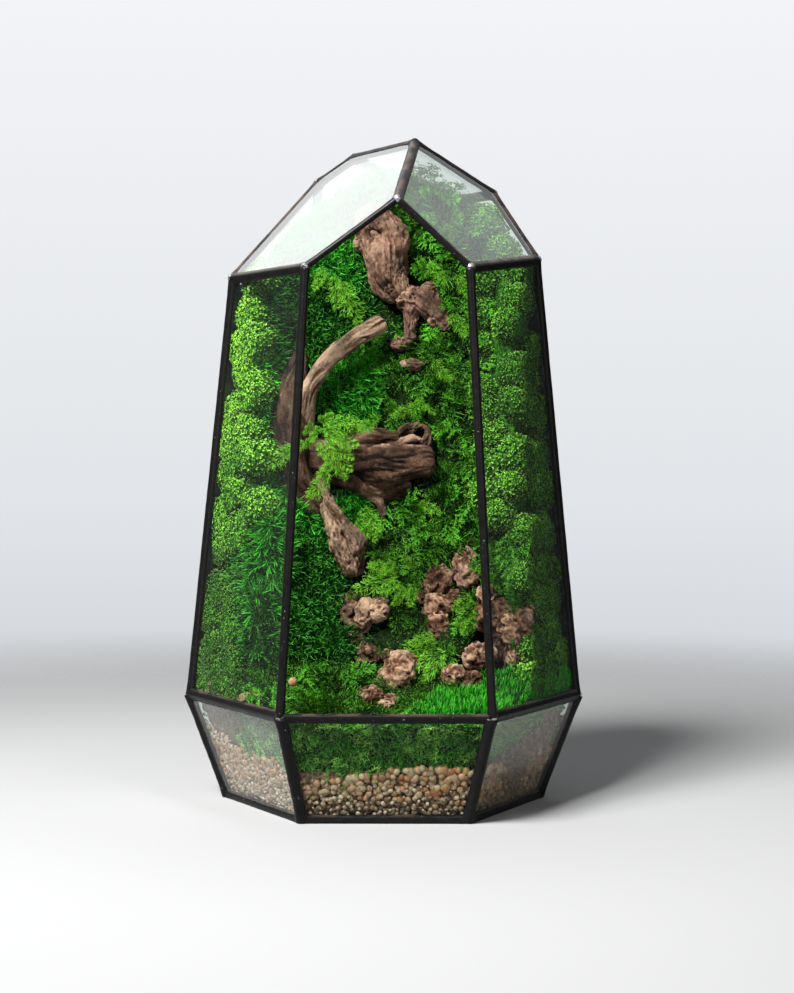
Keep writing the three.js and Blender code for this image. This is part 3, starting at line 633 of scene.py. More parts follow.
def laps(start, end, long_laps):
    """For each pane along a seam: the unit direction into the pane, square to the seam, and how far the
    solder laps onto it."""
    way = unit(CRYSTAL[end] - CRYSTAL[start])
    found = []
    for face, outline in OUTLINES.items():
        if face != OPEN_FACE and start in outline and end in outline:
            inward = face_middle(face) - CRYSTAL[start]
            found.append((unit(inward - way * (inward @ way)), INNER_LAP if face in long_laps else LAP))
    return found


def seam(start, end, radius, seed, long_laps=()):
    """A bead of solder between two corners. Its section is a circle joined to one round-ended lip along
    each pane: at each angle the radius is the soft maximum of the circle's and the lips'. Along its line
    the section swells by exp(-(distance / reach)^2) towards both corners and wavers with two random
    fields."""
    line = CRYSTAL[end] - CRYSTAL[start]
    length, way = np.linalg.norm(line), unit(line)
    out = unit(CRYSTAL[start] - MIDDLE - way * ((CRYSTAL[start] - MIDDLE) @ way))
    side = np.cross(way, out)
    angle = 2 * np.pi * np.arange(SEAM_SIDES) / SEAM_SIDES
    spoke = np.cos(angle)[:, None] * out + np.sin(angle)[:, None] * side
    section = np.full(SEAM_SIDES, radius) ** BLEND
    for lip, lap in laps(start, end, long_laps):
        ahead = spoke @ lip
        aside = np.sqrt(np.maximum(1 - ahead ** 2, 1e-9))
        reach = lap - LIP
        round_end = reach * ahead + np.sqrt(np.maximum(LIP ** 2 - (reach * aside) ** 2, 0))
        flat = LIP / aside
        lobe = np.where(ahead > 0, np.where(flat * ahead < reach, flat, round_end), 0)
        section += np.maximum(lobe, 0) ** BLEND
    section = section ** (1 / BLEND)
    along = np.linspace(0, length, int(length / SEAM_STEP) + 1)
    swell = 1 + SWELL * (np.exp(-(along / SWELL_REACH) ** 2) + np.exp(-((length - along) / SWELL_REACH) ** 2))
    centre = CRYSTAL[start] + along[:, None] * way
    rings = centre[:, None] + spoke * (section * swell[:, None])[..., None]
    waver = 1 + 0.05 * clouds(rings, 7, seed, 2) + 0.035 * clouds(rings, 2.4, seed + 5)
    rings = centre[:, None] + (rings - centre[:, None]) * waver[..., None]
    rings[..., 2] = np.maximum(rings[..., 2], 0)
    return wrapped(rings, (centre[0], centre[-1]))


def solder_blob(corner, radius, seed):
    """A drop of solder at a corner: a ball whose radius wavers with a random field."""
    ball = globe(11, 22)
    reach = radius * (1 + 0.06 * clouds(ball * radius + CRYSTAL[corner], 3, seed))
    rings = CRYSTAL[corner] + ball * reach[..., None]
    rings[..., 2] = np.maximum(rings[..., 2], 0)
    return wrapped(rings)


BASE_RING = ["base_" + name for name in CORNERS]
BELT_RING = ["belt_" + name for name in CORNERS]
ROOF_RING = [name for side, (corner, _) in SIDES.items()
             for name in ["shoulder_" + corner] + ([PEAKS[side]] if side in PEAKS else [])]
RINGS = {"base_rim": (BASE_RING, BASE_BEAD), "belt_rim": (BELT_RING, BELT_BEAD),
         "roof_rim": (ROOF_RING, ROOF_BEAD)}
for index, (name, (corners, radius)) in enumerate(RINGS.items()):
    stretches = zip(corners, corners[1:] + corners[:1])
    shapes = [seam(a, b, radius, 10 * index + k) for k, (a, b) in enumerate(stretches)]
    worn = [np.zeros(len(points)) for points, _ in shapes]
    shapes += [solder_blob(corner, max(radius * 1.2, BLOB), 40 + k) for k, corner in enumerate(corners)]
    worn += [np.ones(len(points)) for points, _ in shapes[len(worn):]]
    piece("solder_" + name, gathered(shapes), SOLDER, [name], marks={"worn": np.concatenate(worn)})
shapes = [seam("apex", peak, RIDGE_BEAD, 60 + k) for k, peak in enumerate(PEAKS.values())]
shapes.append(solder_blob("apex", RIDGE_BEAD * 1.3, 66))
piece("solder_roof_ridges", gathered(shapes), SOLDER, ["roof_ridges"])
for index, corner in enumerate(CORNERS):
    lower = seam("base_" + corner, "belt_" + corner, LOWER_BEAD, 70 + index)
    piece("solder_lower_" + corner, lower, SOLDER, ["lower_seam_" + corner])
    bead = OPENING_BEAD if corner in SIDES["front"] else UPPER_BEAD
    long_laps = ("upper_left_rear", "upper_right_rear") if corner in ("left", "right") else ()
    upper = seam("belt_" + corner, "shoulder_" + corner, bead, 80 + index, long_laps)
    piece("solder_upper_" + corner, upper, SOLDER, ["upper_seam_" + corner])

# ---------------------------------------------------------------- foil

FOIL_WIDTH, FOIL_ROOM = 15.0, (1.15, 1.6)  # across the pane, and both faces' depth inside its centre plane
FOIL_ROWS, FOIL_COLUMNS = 150, 16


def foil(corner, side, seed):
    """A strip of foil inside a rear pane along a side corner: a flat sheet with two faces, whose free edge
    wavers with a random field. The worn mark is a row exp(-((across - 0.2) / 0.05)^2) along it."""
    normal, _ = UPPER[side]
    low, high = CRYSTAL["belt_" + corner], CRYSTAL["shoulder_" + corner]
    inward = face_middle("upper_" + side) - low
    across = unit(inward - unit(high - low) * (inward @ unit(high - low)))
    along = np.linspace(0.005, 0.985, FOIL_ROWS)[:, None, None]
    over = np.linspace(0.08, 1, FOIL_COLUMNS)[None, :, None]
    width = FOIL_WIDTH * (1 + 0.1 * clouds(along[:, 0] * (high - low), 14, seed, 2))[:, None, None]
    sheet = low + along * (high - low) + over * width * across
    faces = [sheet - normal * room for room in FOIL_ROOM]
    rings = np.concatenate([faces[0], faces[1][:, ::-1]], axis=1)
    worn = np.exp(-((over - 0.2) / 0.05) ** 2)[..., 0] * np.ones((FOIL_ROWS, 1))
    marks = {"worn": np.append(np.concatenate([worn, worn[:, ::-1]], 1).ravel(), [0, 0])}
    piece("inner_foil_" + corner, wrapped(rings), FOIL, marks=marks)


foil("left", "left_rear", 91)
foil("right", "right_rear", 92)

# ---------------------------------------------------------------- driftwood

LIMB_STEP = 0.8  # from ring to ring along a limb
CURVE_STEPS = 60  # between two knots of a path
END_BENDS = np.radians([18, 36, 54, 72])
WOOD_ROOM = 1.6  # between the wood's or a stone's points and the centre plane of a pane
HARDSCAPE = []  # circles (x, z, radius) that wood and stones cover as seen from the opening


def smooth_path(knots, step):
    """Evenly spaced points on a Catmull-Rom curve through the knots, and their share of its length."""
    knots = np.array(knots, float)
    padded = np.vstack([2 * knots[0] - knots[1], knots, 2 * knots[-1] - knots[-2]])
    t = np.linspace(0, 1, CURVE_STEPS)[:, None]
    spans = [0.5 * (2 * b + (c - a) * t + (2 * a - 5 * b + 4 * c - d) * t ** 2
                    + (3 * b - a - 3 * c + d) * t ** 3)
             for a, b, c, d in zip(padded, padded[1:], padded[2:], padded[3:])]
    fine = np.vstack(spans)
    run = np.concatenate([[0], np.cumsum(np.linalg.norm(np.diff(fine, axis=0), axis=1))])
    share = np.linspace(0, 1, int(run[-1] / step) + 2)
    return np.stack([np.interp(share * run[-1], run, fine[:, k]) for k in range(3)], 1), share, run[-1]


def limb(path, radii, seed, sides=130, fibre=0.4, lumps=1.0, grooves=(), dents=(), rough=0.0, strand=2.0,
         pale=0.0):
    """A limb of weathered root: rings about a smooth path, of radius R (1 + 0.1 sin 3a + 0.06 sin 2a), plus
    broad lumps, thin ridges 1 - 2 |field| drawn out along the limb, and rough grain. A groove (angle,
    width, start, depth) runs along the limb and takes off depth exp(-(turn / width)^2); a depth below 0
    makes a ridge, painted pale as a highlight. A dent (x, z, width, height, depth) is a hollow of the same
    form on the side that faces the opening. Both ends are rounded by rings that shrink as a quarter
    circle. The relief mark is high on ridges and low in cracks, grooves and dents, where it paints shade;
    pale shifts it, and below 0 paints shade on a limb that lies in shadow."""
    centre, share, length = smooth_path(path, LIMB_STEP)
    tangent = unit(np.gradient(centre, axis=0))
    out = unit(np.cross(tangent, np.array([0, 1.0, 0.02])))
    side = np.cross(tangent, out)
    radius = np.interp(share, np.linspace(0, 1, len(radii)), radii)
    HARDSCAPE.extend(zip(centre[::4, 0], centre[::4, 2], radius[::4]))
    angle = 2 * np.pi * np.arange(sides) / sides
    spoke = np.cos(angle)[None, :, None] * out[:, None] + np.sin(angle)[None, :, None] * side[:, None]
    run = np.broadcast_to((share * length)[:, None], (len(share), sides))
    place = np.stack([np.cos(angle) * radius[:, None], np.sin(angle) * radius[:, None], run], -1)
    bent = place + 2.6 * np.stack([clouds(place, 11, seed + 11), clouds(place, 11, seed + 12), 0 * run], -1)
    drawn = bent * np.array([1, 1, 0.14])
    thread = ridges(drawn, strand, seed, 3)
    lump = clouds(place * np.array([1, 1, 0.7]), 8, seed + 7, 2)
    crack = np.maximum(0, 1 - np.abs(clouds(drawn, 5.5, seed + 3, 2)) / 0.07) * smoothstep(-lump, -0.1, 0.3)
    grain = clouds(place, 1.5, seed + 5, 3)
    relief = fibre * (thread - 0.4) + lumps * lump - 1.1 * crack + rough * grain
    wave = 0.1 * np.sin(3 * angle + 5 * share[:, None] + seed)
    wave = wave + 0.06 * np.sin(2 * angle - 11 * share[:, None] + seed)
    reach = radius[:, None] * (1 + wave) + relief
    # The colour mark: darker in cracks as painted shade; pale below 0 paints shade on the whole limb.
    shade = 0.5 + pale + 0.26 * (thread - 0.4) + 0.2 * lump - 0.4 * crack + (0.12 + 0.1 * rough) * grain
    # Grooves are painted darker as shade, and raised ridges paler as a painted highlight.
    for at, width, start, depth in grooves:
        turn = (angle - at + np.pi) % (2 * np.pi) - np.pi
        cut = np.exp(-(turn / width) ** 2) * smoothstep(share[:, None], start, start + 0.2)
        reach, shade = reach - depth * cut, shade - (0.07 if depth > 0 else 0.24) * depth * cut
    rings = centre[:, None] + spoke * reach[..., None]
    # Dents are painted darker as shade.
    for x, z, width, height, depth in dents:
        cut = np.exp(-((rings[..., 0] - x) / width) ** 2 - ((rings[..., 2] - z) / height) ** 2)
        cut = cut * smoothstep(-spoke[..., 1], 0, 0.5)
        reach, shade = reach - depth * cut, shade - 0.12 * depth * cut
    rings = centre[:, None] + spoke * reach[..., None]
    ends = []
    for index, way in ((0, -1), (-1, 1)):
        turned_in = (END_BENDS[::-1] if index == 0 else END_BENDS)[:, None, None]
        uneven = 1 + 0.08 * clouds(rings[index] * np.ones((4, 1, 1)), 3, seed + 9)[..., None]
        spread = (rings[index] - centre[index])[None] * np.cos(turned_in) * uneven
        ends.append(centre[index] + spread + way * tangent[index] * radius[index] * 0.6 * np.sin(turned_in))
    rings = np.concatenate([ends[0], rings, ends[1]])
    margin = len(END_BENDS)
    return marked(rings, *[np.pad(m, ((margin, margin), (0, 0)), mode="edge") for m in (shade, thread)])


def marked(rings, *marks):
    """A closed surface through rings, and its marks, which take their end rings' means at the two poles."""
    return (*wrapped(rings), *[np.append(m.ravel(), [m[0].mean(), m[-1].mean()]) for m in marks])


def wooden(name, limbs, finish, nodes):
    """One piece of several limbs or nodules, with their relief and fibre marks."""
    *shape, relief, fibre = zip(*limbs)
    points, faces = gathered(list(zip(*shape)))
    marks = {"relief": np.concatenate(relief), "fibre": np.concatenate(fibre)}
    return piece(name, (held_in(points, WOOD_ROOM), faces), finish, nodes, marks=marks)


def craggy(at, size, seed, lobes, across=130, up=76, pale=0.0, sharp=0.5):
    """A craggy nodule: a ball stretched to its size and swollen into lobes, each a cap
    h sqrt(1 - (angle / w)^2) round its own direction, so that sharp creases lie between them. Broad and
    curly ridges 1 - 2 |field|, pits and fine grain roughen it. The relief mark is high on the lobes and low
    in the creases and pits, where it paints shade; pale shifts it, and below 0 paints shade."""
    rng = np.random.default_rng(seed)
    ball = globe(up, across)
    HARDSCAPE.append((at[0], at[2], 0.82 * (size[0] + size[2]) / 2))
    place = ball * np.array(size)
    broad = min(size)
    ways = unit(rng.normal(size=(lobes, 3)) + np.array([0, -0.5, 0.1]))
    heights, widths = rng.uniform(0.16, 0.42, lobes), rng.uniform(0.5, 0.9, lobes)
    bent = unit(warped(ball, 0.34, 0.45, seed, 2))
    apart = 2 * (1 - bent @ ways.T)
    swell = np.max(heights * np.sqrt(np.maximum(0, 1 - apart / widths ** 2)), axis=-1)
    folded = warped(place, 1.8, 3.4, seed + 5)
    fold = ridges(folded, 0.62 * broad, seed + 14, 2)
    curl = ridges(folded, 2.1, seed + 3, 3)
    pit = smoothstep(clouds(place, 0.3 * broad, seed + 4, 2), 0.28, 0.5)
    grain = clouds(place, 1.1, seed + 8, 2)
    reach = 0.8 + swell + 0.09 * clouds(place, 0.9 * broad, seed + 2) - 0.15 * pit + 0.1 * (fold - 0.5)
    rough = sharp * (1.3 * (curl - 0.4) + 0.6 * grain)
    rings = np.array(at) + place * reach[..., None] + unit(place) * rough[..., None]
    # The colour mark: lighter on the lobes, and darker in pits and creases as painted shade.
    relief = 0.14 + pale + 0.9 * swell + 0.24 * fold + 0.3 * (curl - 0.3) - 0.35 * pit + 0.15 * grain
    return marked(rings, relief, curl)


# Below 0, pale paints shade on limbs that lie in shadow: the trunk, the log's front face, the wall behind it
# and its underside.
wooden("driftwood_root", [
    limb([(-43, -3, 216), (-45, -10, 201), (-46.5, -14, 181), (-45, -13, 162), (-38, -9, 148),
          (-31, -8, 142)], [4, 7.2, 8.8, 9.2, 8.6, 6], 1, pale=-0.3),
    limb([(-42, -2, 166), (-20, -8, 163.5), (0, -12, 163), (12, -13, 164.4), (19.5, -12, 165)],
         [12, 10.8, 10, 9.6, 7.6], 2, sides=140, lumps=0.9, rough=0.6, pale=-0.3,
         grooves=[(0.62, 0.22, 0.1, -1.3), (0.2, 0.2, 0.1, 1.6), (1.95, 0.12, 0.3, 0.5),
                  (2.6, 0.14, 0.15, 0.9)],
         dents=[(-15, 157, 4.5, 2.4, 5), (15, 155.5, 4, 2, 2.5)]),
    limb([(3, -16, 172.4), (8, -16, 174.2), (13, -15.5, 175.8), (17.5, -15, 174.6)], [0.9, 1.3, 1.6, 1.2], 12,
         sides=50, fibre=0.5, lumps=0.8, rough=0.6),
    limb([(-26, -2, 170), (-12, -1, 175), (0, 0, 176), (7, -1, 176.4), (11.5, -2, 177)],
         [7.4, 6.0, 5.6, 4.8, 3], 8, sides=90, lumps=0.8, pale=-0.22),
    limb([(8, -6, 178.6), (12, -9, 180.8), (16, -11, 182.4), (19, -12, 181.8), (20.2, -12.6, 179),
          (20, -13, 175.4), (18, -13.5, 171.5)], [2.8, 3.1, 1.6, 1.4, 1.7, 2.4, 3], 10, sides=70, lumps=0.9,
         rough=0.7, fibre=0.5, pale=-0.16),
    # A dark nodule fills the hole behind the curl: a dark thing put where there is only shade, painted shade.
    craggy((15, -5, 178), (7.4, 3.6, 5), 65, 4, 60, 36, pale=-0.5),
    limb([(-24, -3, 161), (-12, -6, 155), (0, -6, 150.5), (11, -5, 151.5)], [9, 8, 6.4, 3.8], 13, sides=100,
         lumps=1.6, rough=0.5, pale=-0.2),
    limb([(-22, -2, 162), (-11, -6, 155), (-4.5, -9, 147), (-0.5, -10, 138.5)], [8, 6, 3.6, 1.6], 9, sides=64,
         pale=-0.1),
    limb([(-42, -8, 174), (-39.5, -13, 190), (-36, -14, 201), (-28, -12, 213), (-17, -9, 222), (-3, -5, 231)],
         [6.5, 5.0, 4.2, 3.9, 4.2, 4.9], 3, sides=84, fibre=0.3, lumps=0.4, pale=0.1),
    limb([(-34, -6, 158), (-29.5, -10, 147), (-24.5, -14, 137), (-18.5, -17, 124), (-16, -18, 112)],
         [6.5, 3.4, 5.0, 8.4, 5.4], 4, sides=120, lumps=1.6, rough=1.3, strand=1.2, pale=-0.04,
         dents=[(-24, 138, 1.3, 1.5, 2.2), (-20, 130, 1.2, 1.6, 2), (-14, 120, 1.2, 1.2, 1.6),
                (-17, 116, 1.0, 1.0, 1.4), (-22, 124, 0.9, 1.0, 1.2)]),
], ROOT_WOOD, ["driftwood_main"])
bark = limb([(-71, -42, 53), (-64, -45, 54.6), (-57, -50, 55.4)], [1.8, 2.6, 1.6], 14, sides=60, rough=0.5)
wooden("loose_bark", [bark], ROOT_WOOD, [])
wooden("driftwood_stump", [
    limb([(-6.5, 7, 286), (-2.5, 7, 276), (-0.3, 6, 264), (1.6, 5, 254), (6, 4, 247)],
         [9, 11.8, 11.4, 9.8, 6.5], 5, sides=170, fibre=0.25, lumps=1.3, rough=1.0, strand=1.0,
         dents=[(-7, 275, 4.4, 1.9, 5), (1, 249.5, 2.4, 2.2, 4), (-3, 262, 1.2, 4, 1.4),
                (3, 266, 0.8, 5, 1.2)]),
    limb([(-14.5, 6, 270.5), (-10.5, 6, 272), (-6, 6, 275)], [2.6, 4.6, 7], 66, sides=80, rough=1.0),
    craggy((12.6, 4, 244), (9.4, 6.5, 7.6), 61, 4, sharp=0.65),
    craggy((21, 4, 247.6), (5.4, 5, 5.2), 62, 3, 90, 50, sharp=0.65),
    craggy((3.5, 3, 250.5), (6.5, 6, 6), 68, 5, 90, 50, sharp=0.8),
    limb([(12.2, 4, 242), (11.8, 2, 233), (12, 1, 225)], [5.6, 3.2, 2.6], 7, sides=84, lumps=1.2, rough=0.9,
         strand=1.2),
    limb([(17, 3.4, 244), (22.5, 3, 239.5), (27.5, 2, 234), (30.5, 1, 230.5)], [7, 6, 4.4, 2], 69, sides=84,
         lumps=1.4, rough=1.0, strand=1.2, pale=-0.1),
    craggy((6.8, 0, 221.5), (5.8, 3.6, 3.2), 63, 6, 80, 46, sharp=0.8),
    craggy((25.3, 2, 235.4), (4.4, 3, 4.2), 64, 6, 80, 46, sharp=1.0),
    craggy((12.8, -1, 212), (5.4, 2.6, 2.8), 67, 4, 60, 36, sharp=0.8),
], RED_WOOD, ["driftwood_upper"])

# ---------------------------------------------------------------- stones

STONES = {  # nodules of each stone: place, half sizes, lobes, paleness, partly the stones' own lighter or darker tone and partly painted shade on nodules that sit deep or in shadow
    "stone_left": [((-16.5, -17, 93.5), (8.5, 8, 10), 5, -0.18), ((-10, -24, 90.5), (5.8, 5.4, 8.5), 3, 0.1),
                   ((-3, -23, 94.5), (6.6, 6, 6.6), 3, 0.17), ((-13.5, -20, 79), (5.5, 5.5, 4.6), 5, -0.12),
                   ((0.5, -20, 79), (4.4, 4, 3.4), 3, -0.2)],
    "stone_low_mid": [((6.3, -34, 64.5), (10.6, 9, 9.2), 10, 0.0),
                      ((1.6, -33, 73), (3.4, 3.4, 3.2), 3, -0.05),
                      ((11.5, -33, 70.5), (5, 4.8, 4.6), 4, 0.0), ((-7.5, -27, 73), (6.6, 6, 5.4), 5, -0.14)],
    "stone_low_front": [((-6.5, -50, 57), (6.4, 5, 4.4), 5, -0.12), ((1.5, -50, 53.6), (6.6, 5, 4), 4, 0.0)],
    "stone_right_top": [((37.5, -17.5, 115.5), (6.6, 6.4, 7.6), 5, 0.05),
                        ((40, -18.5, 108), (6, 6, 6), 4, 0.0)],
    "stone_right_mid": [((24.5, -13, 106), (8.8, 8, 11), 4, -0.06),
                        ((18, -14, 102), (6.4, 5.5, 8.4), 4, -0.2),
                        ((26, -16, 94), (10, 8, 9.4), 5, -0.14), ((33, -18, 98), (5.6, 5, 5.6), 4, -0.06),
                        ((26, -20, 85), (8.6, 6.8, 7.4), 5, -0.08)],
    "stone_right_big": [((52, -26, 92), (9.5, 9, 10.5), 8, -0.16), ((61, -28, 87), (9.6, 9, 9.4), 8, -0.2),
                        ((61.5, -31, 73), (6.4, 6, 7.6), 5, -0.05), ((44.5, -34, 73), (7.6, 7, 7.6), 6, 0.05),
                        ((49.5, -26, 102), (5.4, 5.4, 5.6), 4, -0.1), ((68, -25, 92), (5, 5, 5), 4, -0.25),
                        ((55, -24, 76), (9, 7, 8), 4, -0.3)],
    "stone_right_low": [((31.5, -38, 64.5), (6.4, 6, 5.8), 5, 0.05),
                        ((40.5, -38, 62.5), (6.6, 6.2, 4.8), 5, -0.2)],
}
for index, (name, nodules) in enumerate(STONES.items()):
    shapes = [craggy(at, size, 120 + 10 * index + k, lobes, 84, 48, pale)
              for k, (at, size, lobes, pale) in enumerate(nodules)]
    wooden("craggy_" + name, shapes, KNOBBY_STONE, [name])

# ---------------------------------------------------------------- pebbles, grit and crumbs


def form_of(build):
    """Points and triangles of the small mesh that a function builds."""
    form = bmesh.new()
    build(form)
    bmesh.ops.triangulate(form, faces=form.faces[:])
    points = np.array([v.co[:] for v in form.verts])
    faces = np.array([[v.index for v in f.verts] for f in form.faces])
    form.free()
    return points, faces


def ball_form(cells):
    """A ball cut from a cube whose sides have cells x cells squares: each grid point is drawn to unit
    length."""

    def build(form):
        """A cube with its sides cut into squares."""
        bmesh.ops.create_cube(form, size=2)
        bmesh.ops.subdivide_edges(form, edges=form.edges[:], cuts=cells - 1, use_grid_fill=True)

    points, faces = form_of(build)
    return unit(points), faces


PEBBLE_FORM = ball_form(2)
LOOSE_FORM = ball_form(5)
DOME_FORM = ball_form(6)
CRUMB_FORM = form_of(lambda form: bmesh.ops.create_icosphere(form, subdivisions=1, radius=1))
GRAIN_ROOM = 1.35  # between a grain's points and the centre plane of a pane


def turned(count, rng):
    """Random rotation matrices, from unit quaternions."""
    w, x, y, z = unit(rng.normal(size=(count, 4))).T
    return np.stack([
        1 - 2 * (y * y + z * z), 2 * (x * y - w * z), 2 * (x * z + w * y),
        2 * (x * y + w * z), 1 - 2 * (x * x + z * z), 2 * (y * z - w * x),
        2 * (x * z - w * y), 2 * (y * z + w * x), 1 - 2 * (x * x + y * y),
    ], -1).reshape(-1, 3, 3)


def strewn(centres, sizes, form, tone, rng, room=GRAIN_ROOM):
    """Copies of a form at many places, each stretched by 1, about 0.87 and about 0.8, made uneven, turned
    at random and held inside the glass. Returns the shape and its palette map."""
    points, faces = form
    count = len(centres)
    stretch = np.stack([np.ones(count), rng.uniform(0.75, 1, count), rng.uniform(0.7, 0.9, count)], 1)
    uneven = 1 + rng.uniform(-0.1, 0.1, (count, len(points), 1))
    local = points[None] * stretch[:, None] * uneven * sizes[:, None, None]
    placed = np.einsum("nij,nkj->nki", turned(count, rng), local) + centres[:, None]
    placed = held_in(placed, room)
    across = np.clip(tone, 0.02, 0.98)[:, None] + 0.012 * points[:, 0]
    along = np.broadcast_to(0.5 + 0.32 * points[:, 2] + 0.15 * points[:, 1], across.shape)
    uv = np.stack([across, along], -1)
    return copies(placed, faces), uv.reshape(-1, 2)


ROW_DENSITY, JITTER = 1.15, 0.3  # rows to a spacing, and the share of it that a place strays
GRAVEL_Z = 24


def on_wall(side, low, high, spacing, depth, rng):
    """Places strewn over the lower pane of one side between two heights, on a staggered grid with jitter,
    at a depth inside the pane's centre plane."""
    normal, _ = LOWER[side]
    a, b, c, d = (CRYSTAL[ring + corner] for ring in ("base_", "belt_") for corner in SIDES[side])
    rows = int((high - low) / spacing * ROW_DENSITY) + 1
    share = (low + (high - low) * (np.arange(rows) + 0.5) / rows - BASE_Z) / (BELT_Z - BASE_Z)
    found = []
    for row, t in enumerate(share):
        left, right = a + t * (c - a), b + t * (d - b)
        columns = int(np.linalg.norm(right - left) / spacing)
        u = (np.arange(columns) + 0.5 + 0.5 * (row % 2)) / (columns + 0.5)
        found.append(left + u[:, None] * (right - left))
    places = np.vstack(found) - normal * depth
    return places + rng.uniform(-JITTER, JITTER, places.shape) * spacing


def gravel_top(x, y):
    """Height of the gravel: 24 + 6 (x / 95)^2 towards the left corner, and a ripple
    0.8 sin(x / 9 + 1) cos(y / 11)."""
    left = np.maximum(0, -x / BELT_RADIUS)
    return GRAVEL_Z + 6 * left ** 2 + 0.8 * np.sin(x / 9 + 1) * np.cos(y / 11)


WALL_GAP, UNDER_GAP, TOP_GAP = 3.1, 3.7, 3.2  # between pebbles at the walls, underneath and on top
CRUMBS_TRIED, CRUMBS_KEPT = 16000, 2000  # crumbs sown on the bank, and the most that stay


def pebbles():
    """Pebbles along the walls, on the bed's underside and on its top in front, as far up as the hanging
    moss lets them show."""
    rng = np.random.default_rng(301)
    places = [on_wall(side, 2, 27, WALL_GAP, 3.0, rng) for side in SIDES]
    places.append(on_wall("front", 19, 27, TOP_GAP, 5.4, rng))
    flat = rng.uniform(-70, 70, (2600, 2))
    under = np.column_stack([flat, np.full(len(flat), 4.0)])
    under = under[inside(under, 5, 5)]
    under = under[spaced(under, UNDER_GAP)]
    tops = rng.uniform(-88, 88, (5200, 2))
    tops = np.column_stack([tops, gravel_top(*tops.T) + 0.4])
    tops = tops[inside(tops, 5, 5) & (tops[:, 1] < -52)]
    tops = tops[spaced(tops, TOP_GAP)]
    places = np.vstack([*places, under, tops])
    x, y, z = places.T
    hung_over = (y < -58) & (np.abs(x) < 46)
    brim = 20 + 6.5 * smoothstep(x, -34, 26) + 1.2 * clouds(places, 9, 8)
    places = places[~hung_over | (z < brim)]
    x, y, z = places.T
    left_of_slope = (x < 50 + 8 * rng.random(len(places))) | (y > -20) | (z < 5)
    places = places[(z < gravel_top(x, y) + 1.8) & left_of_slope]
    sizes = rng.uniform(1.15, 1.9, len(places)) * np.where(rng.random(len(places)) < 0.2, 1.2, 1)
    sizes *= 0.9 + 0.4 * smoothstep(places[:, 2], 8, 18)
    return strewn(places, sizes, PEBBLE_FORM, rng.random(len(places)), rng)


shape, uv = pebbles()
piece("drainage_pebbles", shape, PEBBLE, uv=uv)
LOOSE = np.array([  # loose pebbles: place, size, tone
    (-42.5, -60, 63.7, 2.3, 0.27), (-50, -47, 53.8, 2.2, 0.75), (49.8, -62.5, 23.5, 3.4, 0.4)])
shape, uv = strewn(LOOSE[:, :3], LOOSE[:, 3], LOOSE_FORM, LOOSE[:, 4], np.random.default_rng(304), 1.4)
piece("loose_pebbles", shape, PEBBLE, uv=uv)


def grit():
    """Finer pinkish grit behind the lower left pane, heaped towards the left corner, and low behind the front
    one."""
    rng = np.random.default_rng(302)
    places = np.vstack([on_wall("left_front", 2, 42, 1.8, 2.4, rng), on_wall("front", 2, 18, 3.4, 1.9, rng)])
    heap = 25 + 12 * smoothstep(-places[:, 0], 56, 94) + 1.5 * clouds(places, 8, 5)
    places = places[places[:, 2] < heap]
    return strewn(places, rng.uniform(0.6, 1.5, len(places)), CRUMB_FORM, rng.random(len(places)), rng)


shape, uv = grit()
piece("pink_grit", shape, GRIT, uv=uv)


MAT_ROOM = 1.5  # least room between soil or moss mats and the centre plane of a pane
REAR_ROOM = 2.9  # behind the rear panes
SKIRT_ROOM = 7.0  # behind the lower front panes, for the skirt of moss that hangs there
DOME_ROOM = 8.5  # behind the upper front side panes above the floor, for the domes of bun moss
DOME_FROM, DOME_TO = 54, 72  # the heights between which the room for the domes grows


def displaced(node, cell, depth, size, seed, lumps=0.0):
    """A CAD node's skin, recut and moved along its normals by random fields, then pressed back from the
    glass by more room where moss grows in front of it."""
    points, faces = recut(node, cell)
    normals = vertex_normals(points, faces)
    amount = depth * clouds(points, size, seed, 3) + lumps * clouds(points, 6 * size, seed + 3)
    moved = held_in(points + normals * amount[:, None], MAT_ROOM)
    x, z = moved[:, 0], moved[:, 2]
    dome_room = MAT_ROOM + (DOME_ROOM - MAT_ROOM) * smoothstep(z, DOME_FROM, DOME_TO)
    skirt_room = MAT_ROOM + (SKIRT_ROOM - MAT_ROOM) * smoothstep(z, 21, 27) * (1 - smoothstep(z, 44, 50))
    corner_room = skirt_room - (skirt_room - MAT_ROOM) * smoothstep(x, 70, 82)
    rear_room = REAR_ROOM * smoothstep(z, 26, 34)
    for wall, room in ((UPPER["left_front"], dome_room), (UPPER["right_front"], dome_room),
                       (LOWER["front"], skirt_room), (LOWER["right_front"], corner_room),
                       *((walls[side], rear_room) for walls in (LOWER, UPPER) for side in REAR_SIDES)):
        press_back(moved, wall, room)
    return moved, faces


piece("gravel_core", displaced("gravel_bed", 2.6, 0.5, 3, 41), FINES, ["gravel_bed"])
BANK = displaced("soil_bank", 2.1, 0.9, 2.6, 43, 0.8)
piece("soil_crumbly", BANK, SOIL, ["soil_bank"])


def crumbs():
    """Crumbs of soil where the bank shows at the walls, and a slope of them behind the lower right pane."""
    rng = np.random.default_rng(303)
    places, normals = sown(*BANK, CRUMBS_TRIED, rng)
    shown = ~inside(places, 6.0, 22) & (normals[:, 2] < 0.9)
    places, normals = places[shown][:CRUMBS_KEPT], normals[shown][:CRUMBS_KEPT]
    slope = on_wall("right_front", 2, 40, 1.35, 2.4, rng)
    slope = slope[(slope[:, 0] > 48) & (slope[:, 2] < 26 + 0.45 * (slope[:, 0] - 48))]
    sizes = [rng.uniform(0.35, 1.5, len(places)) ** 1.5, rng.uniform(0.45, 1.0, len(slope))]
    places = np.vstack([places + normals * 0.3, slope])
    tone = np.clip(rng.normal(0.4, 0.25, len(places)), 0, 1)
    return strewn(places, np.concatenate(sizes), CRUMB_FORM, tone, rng)


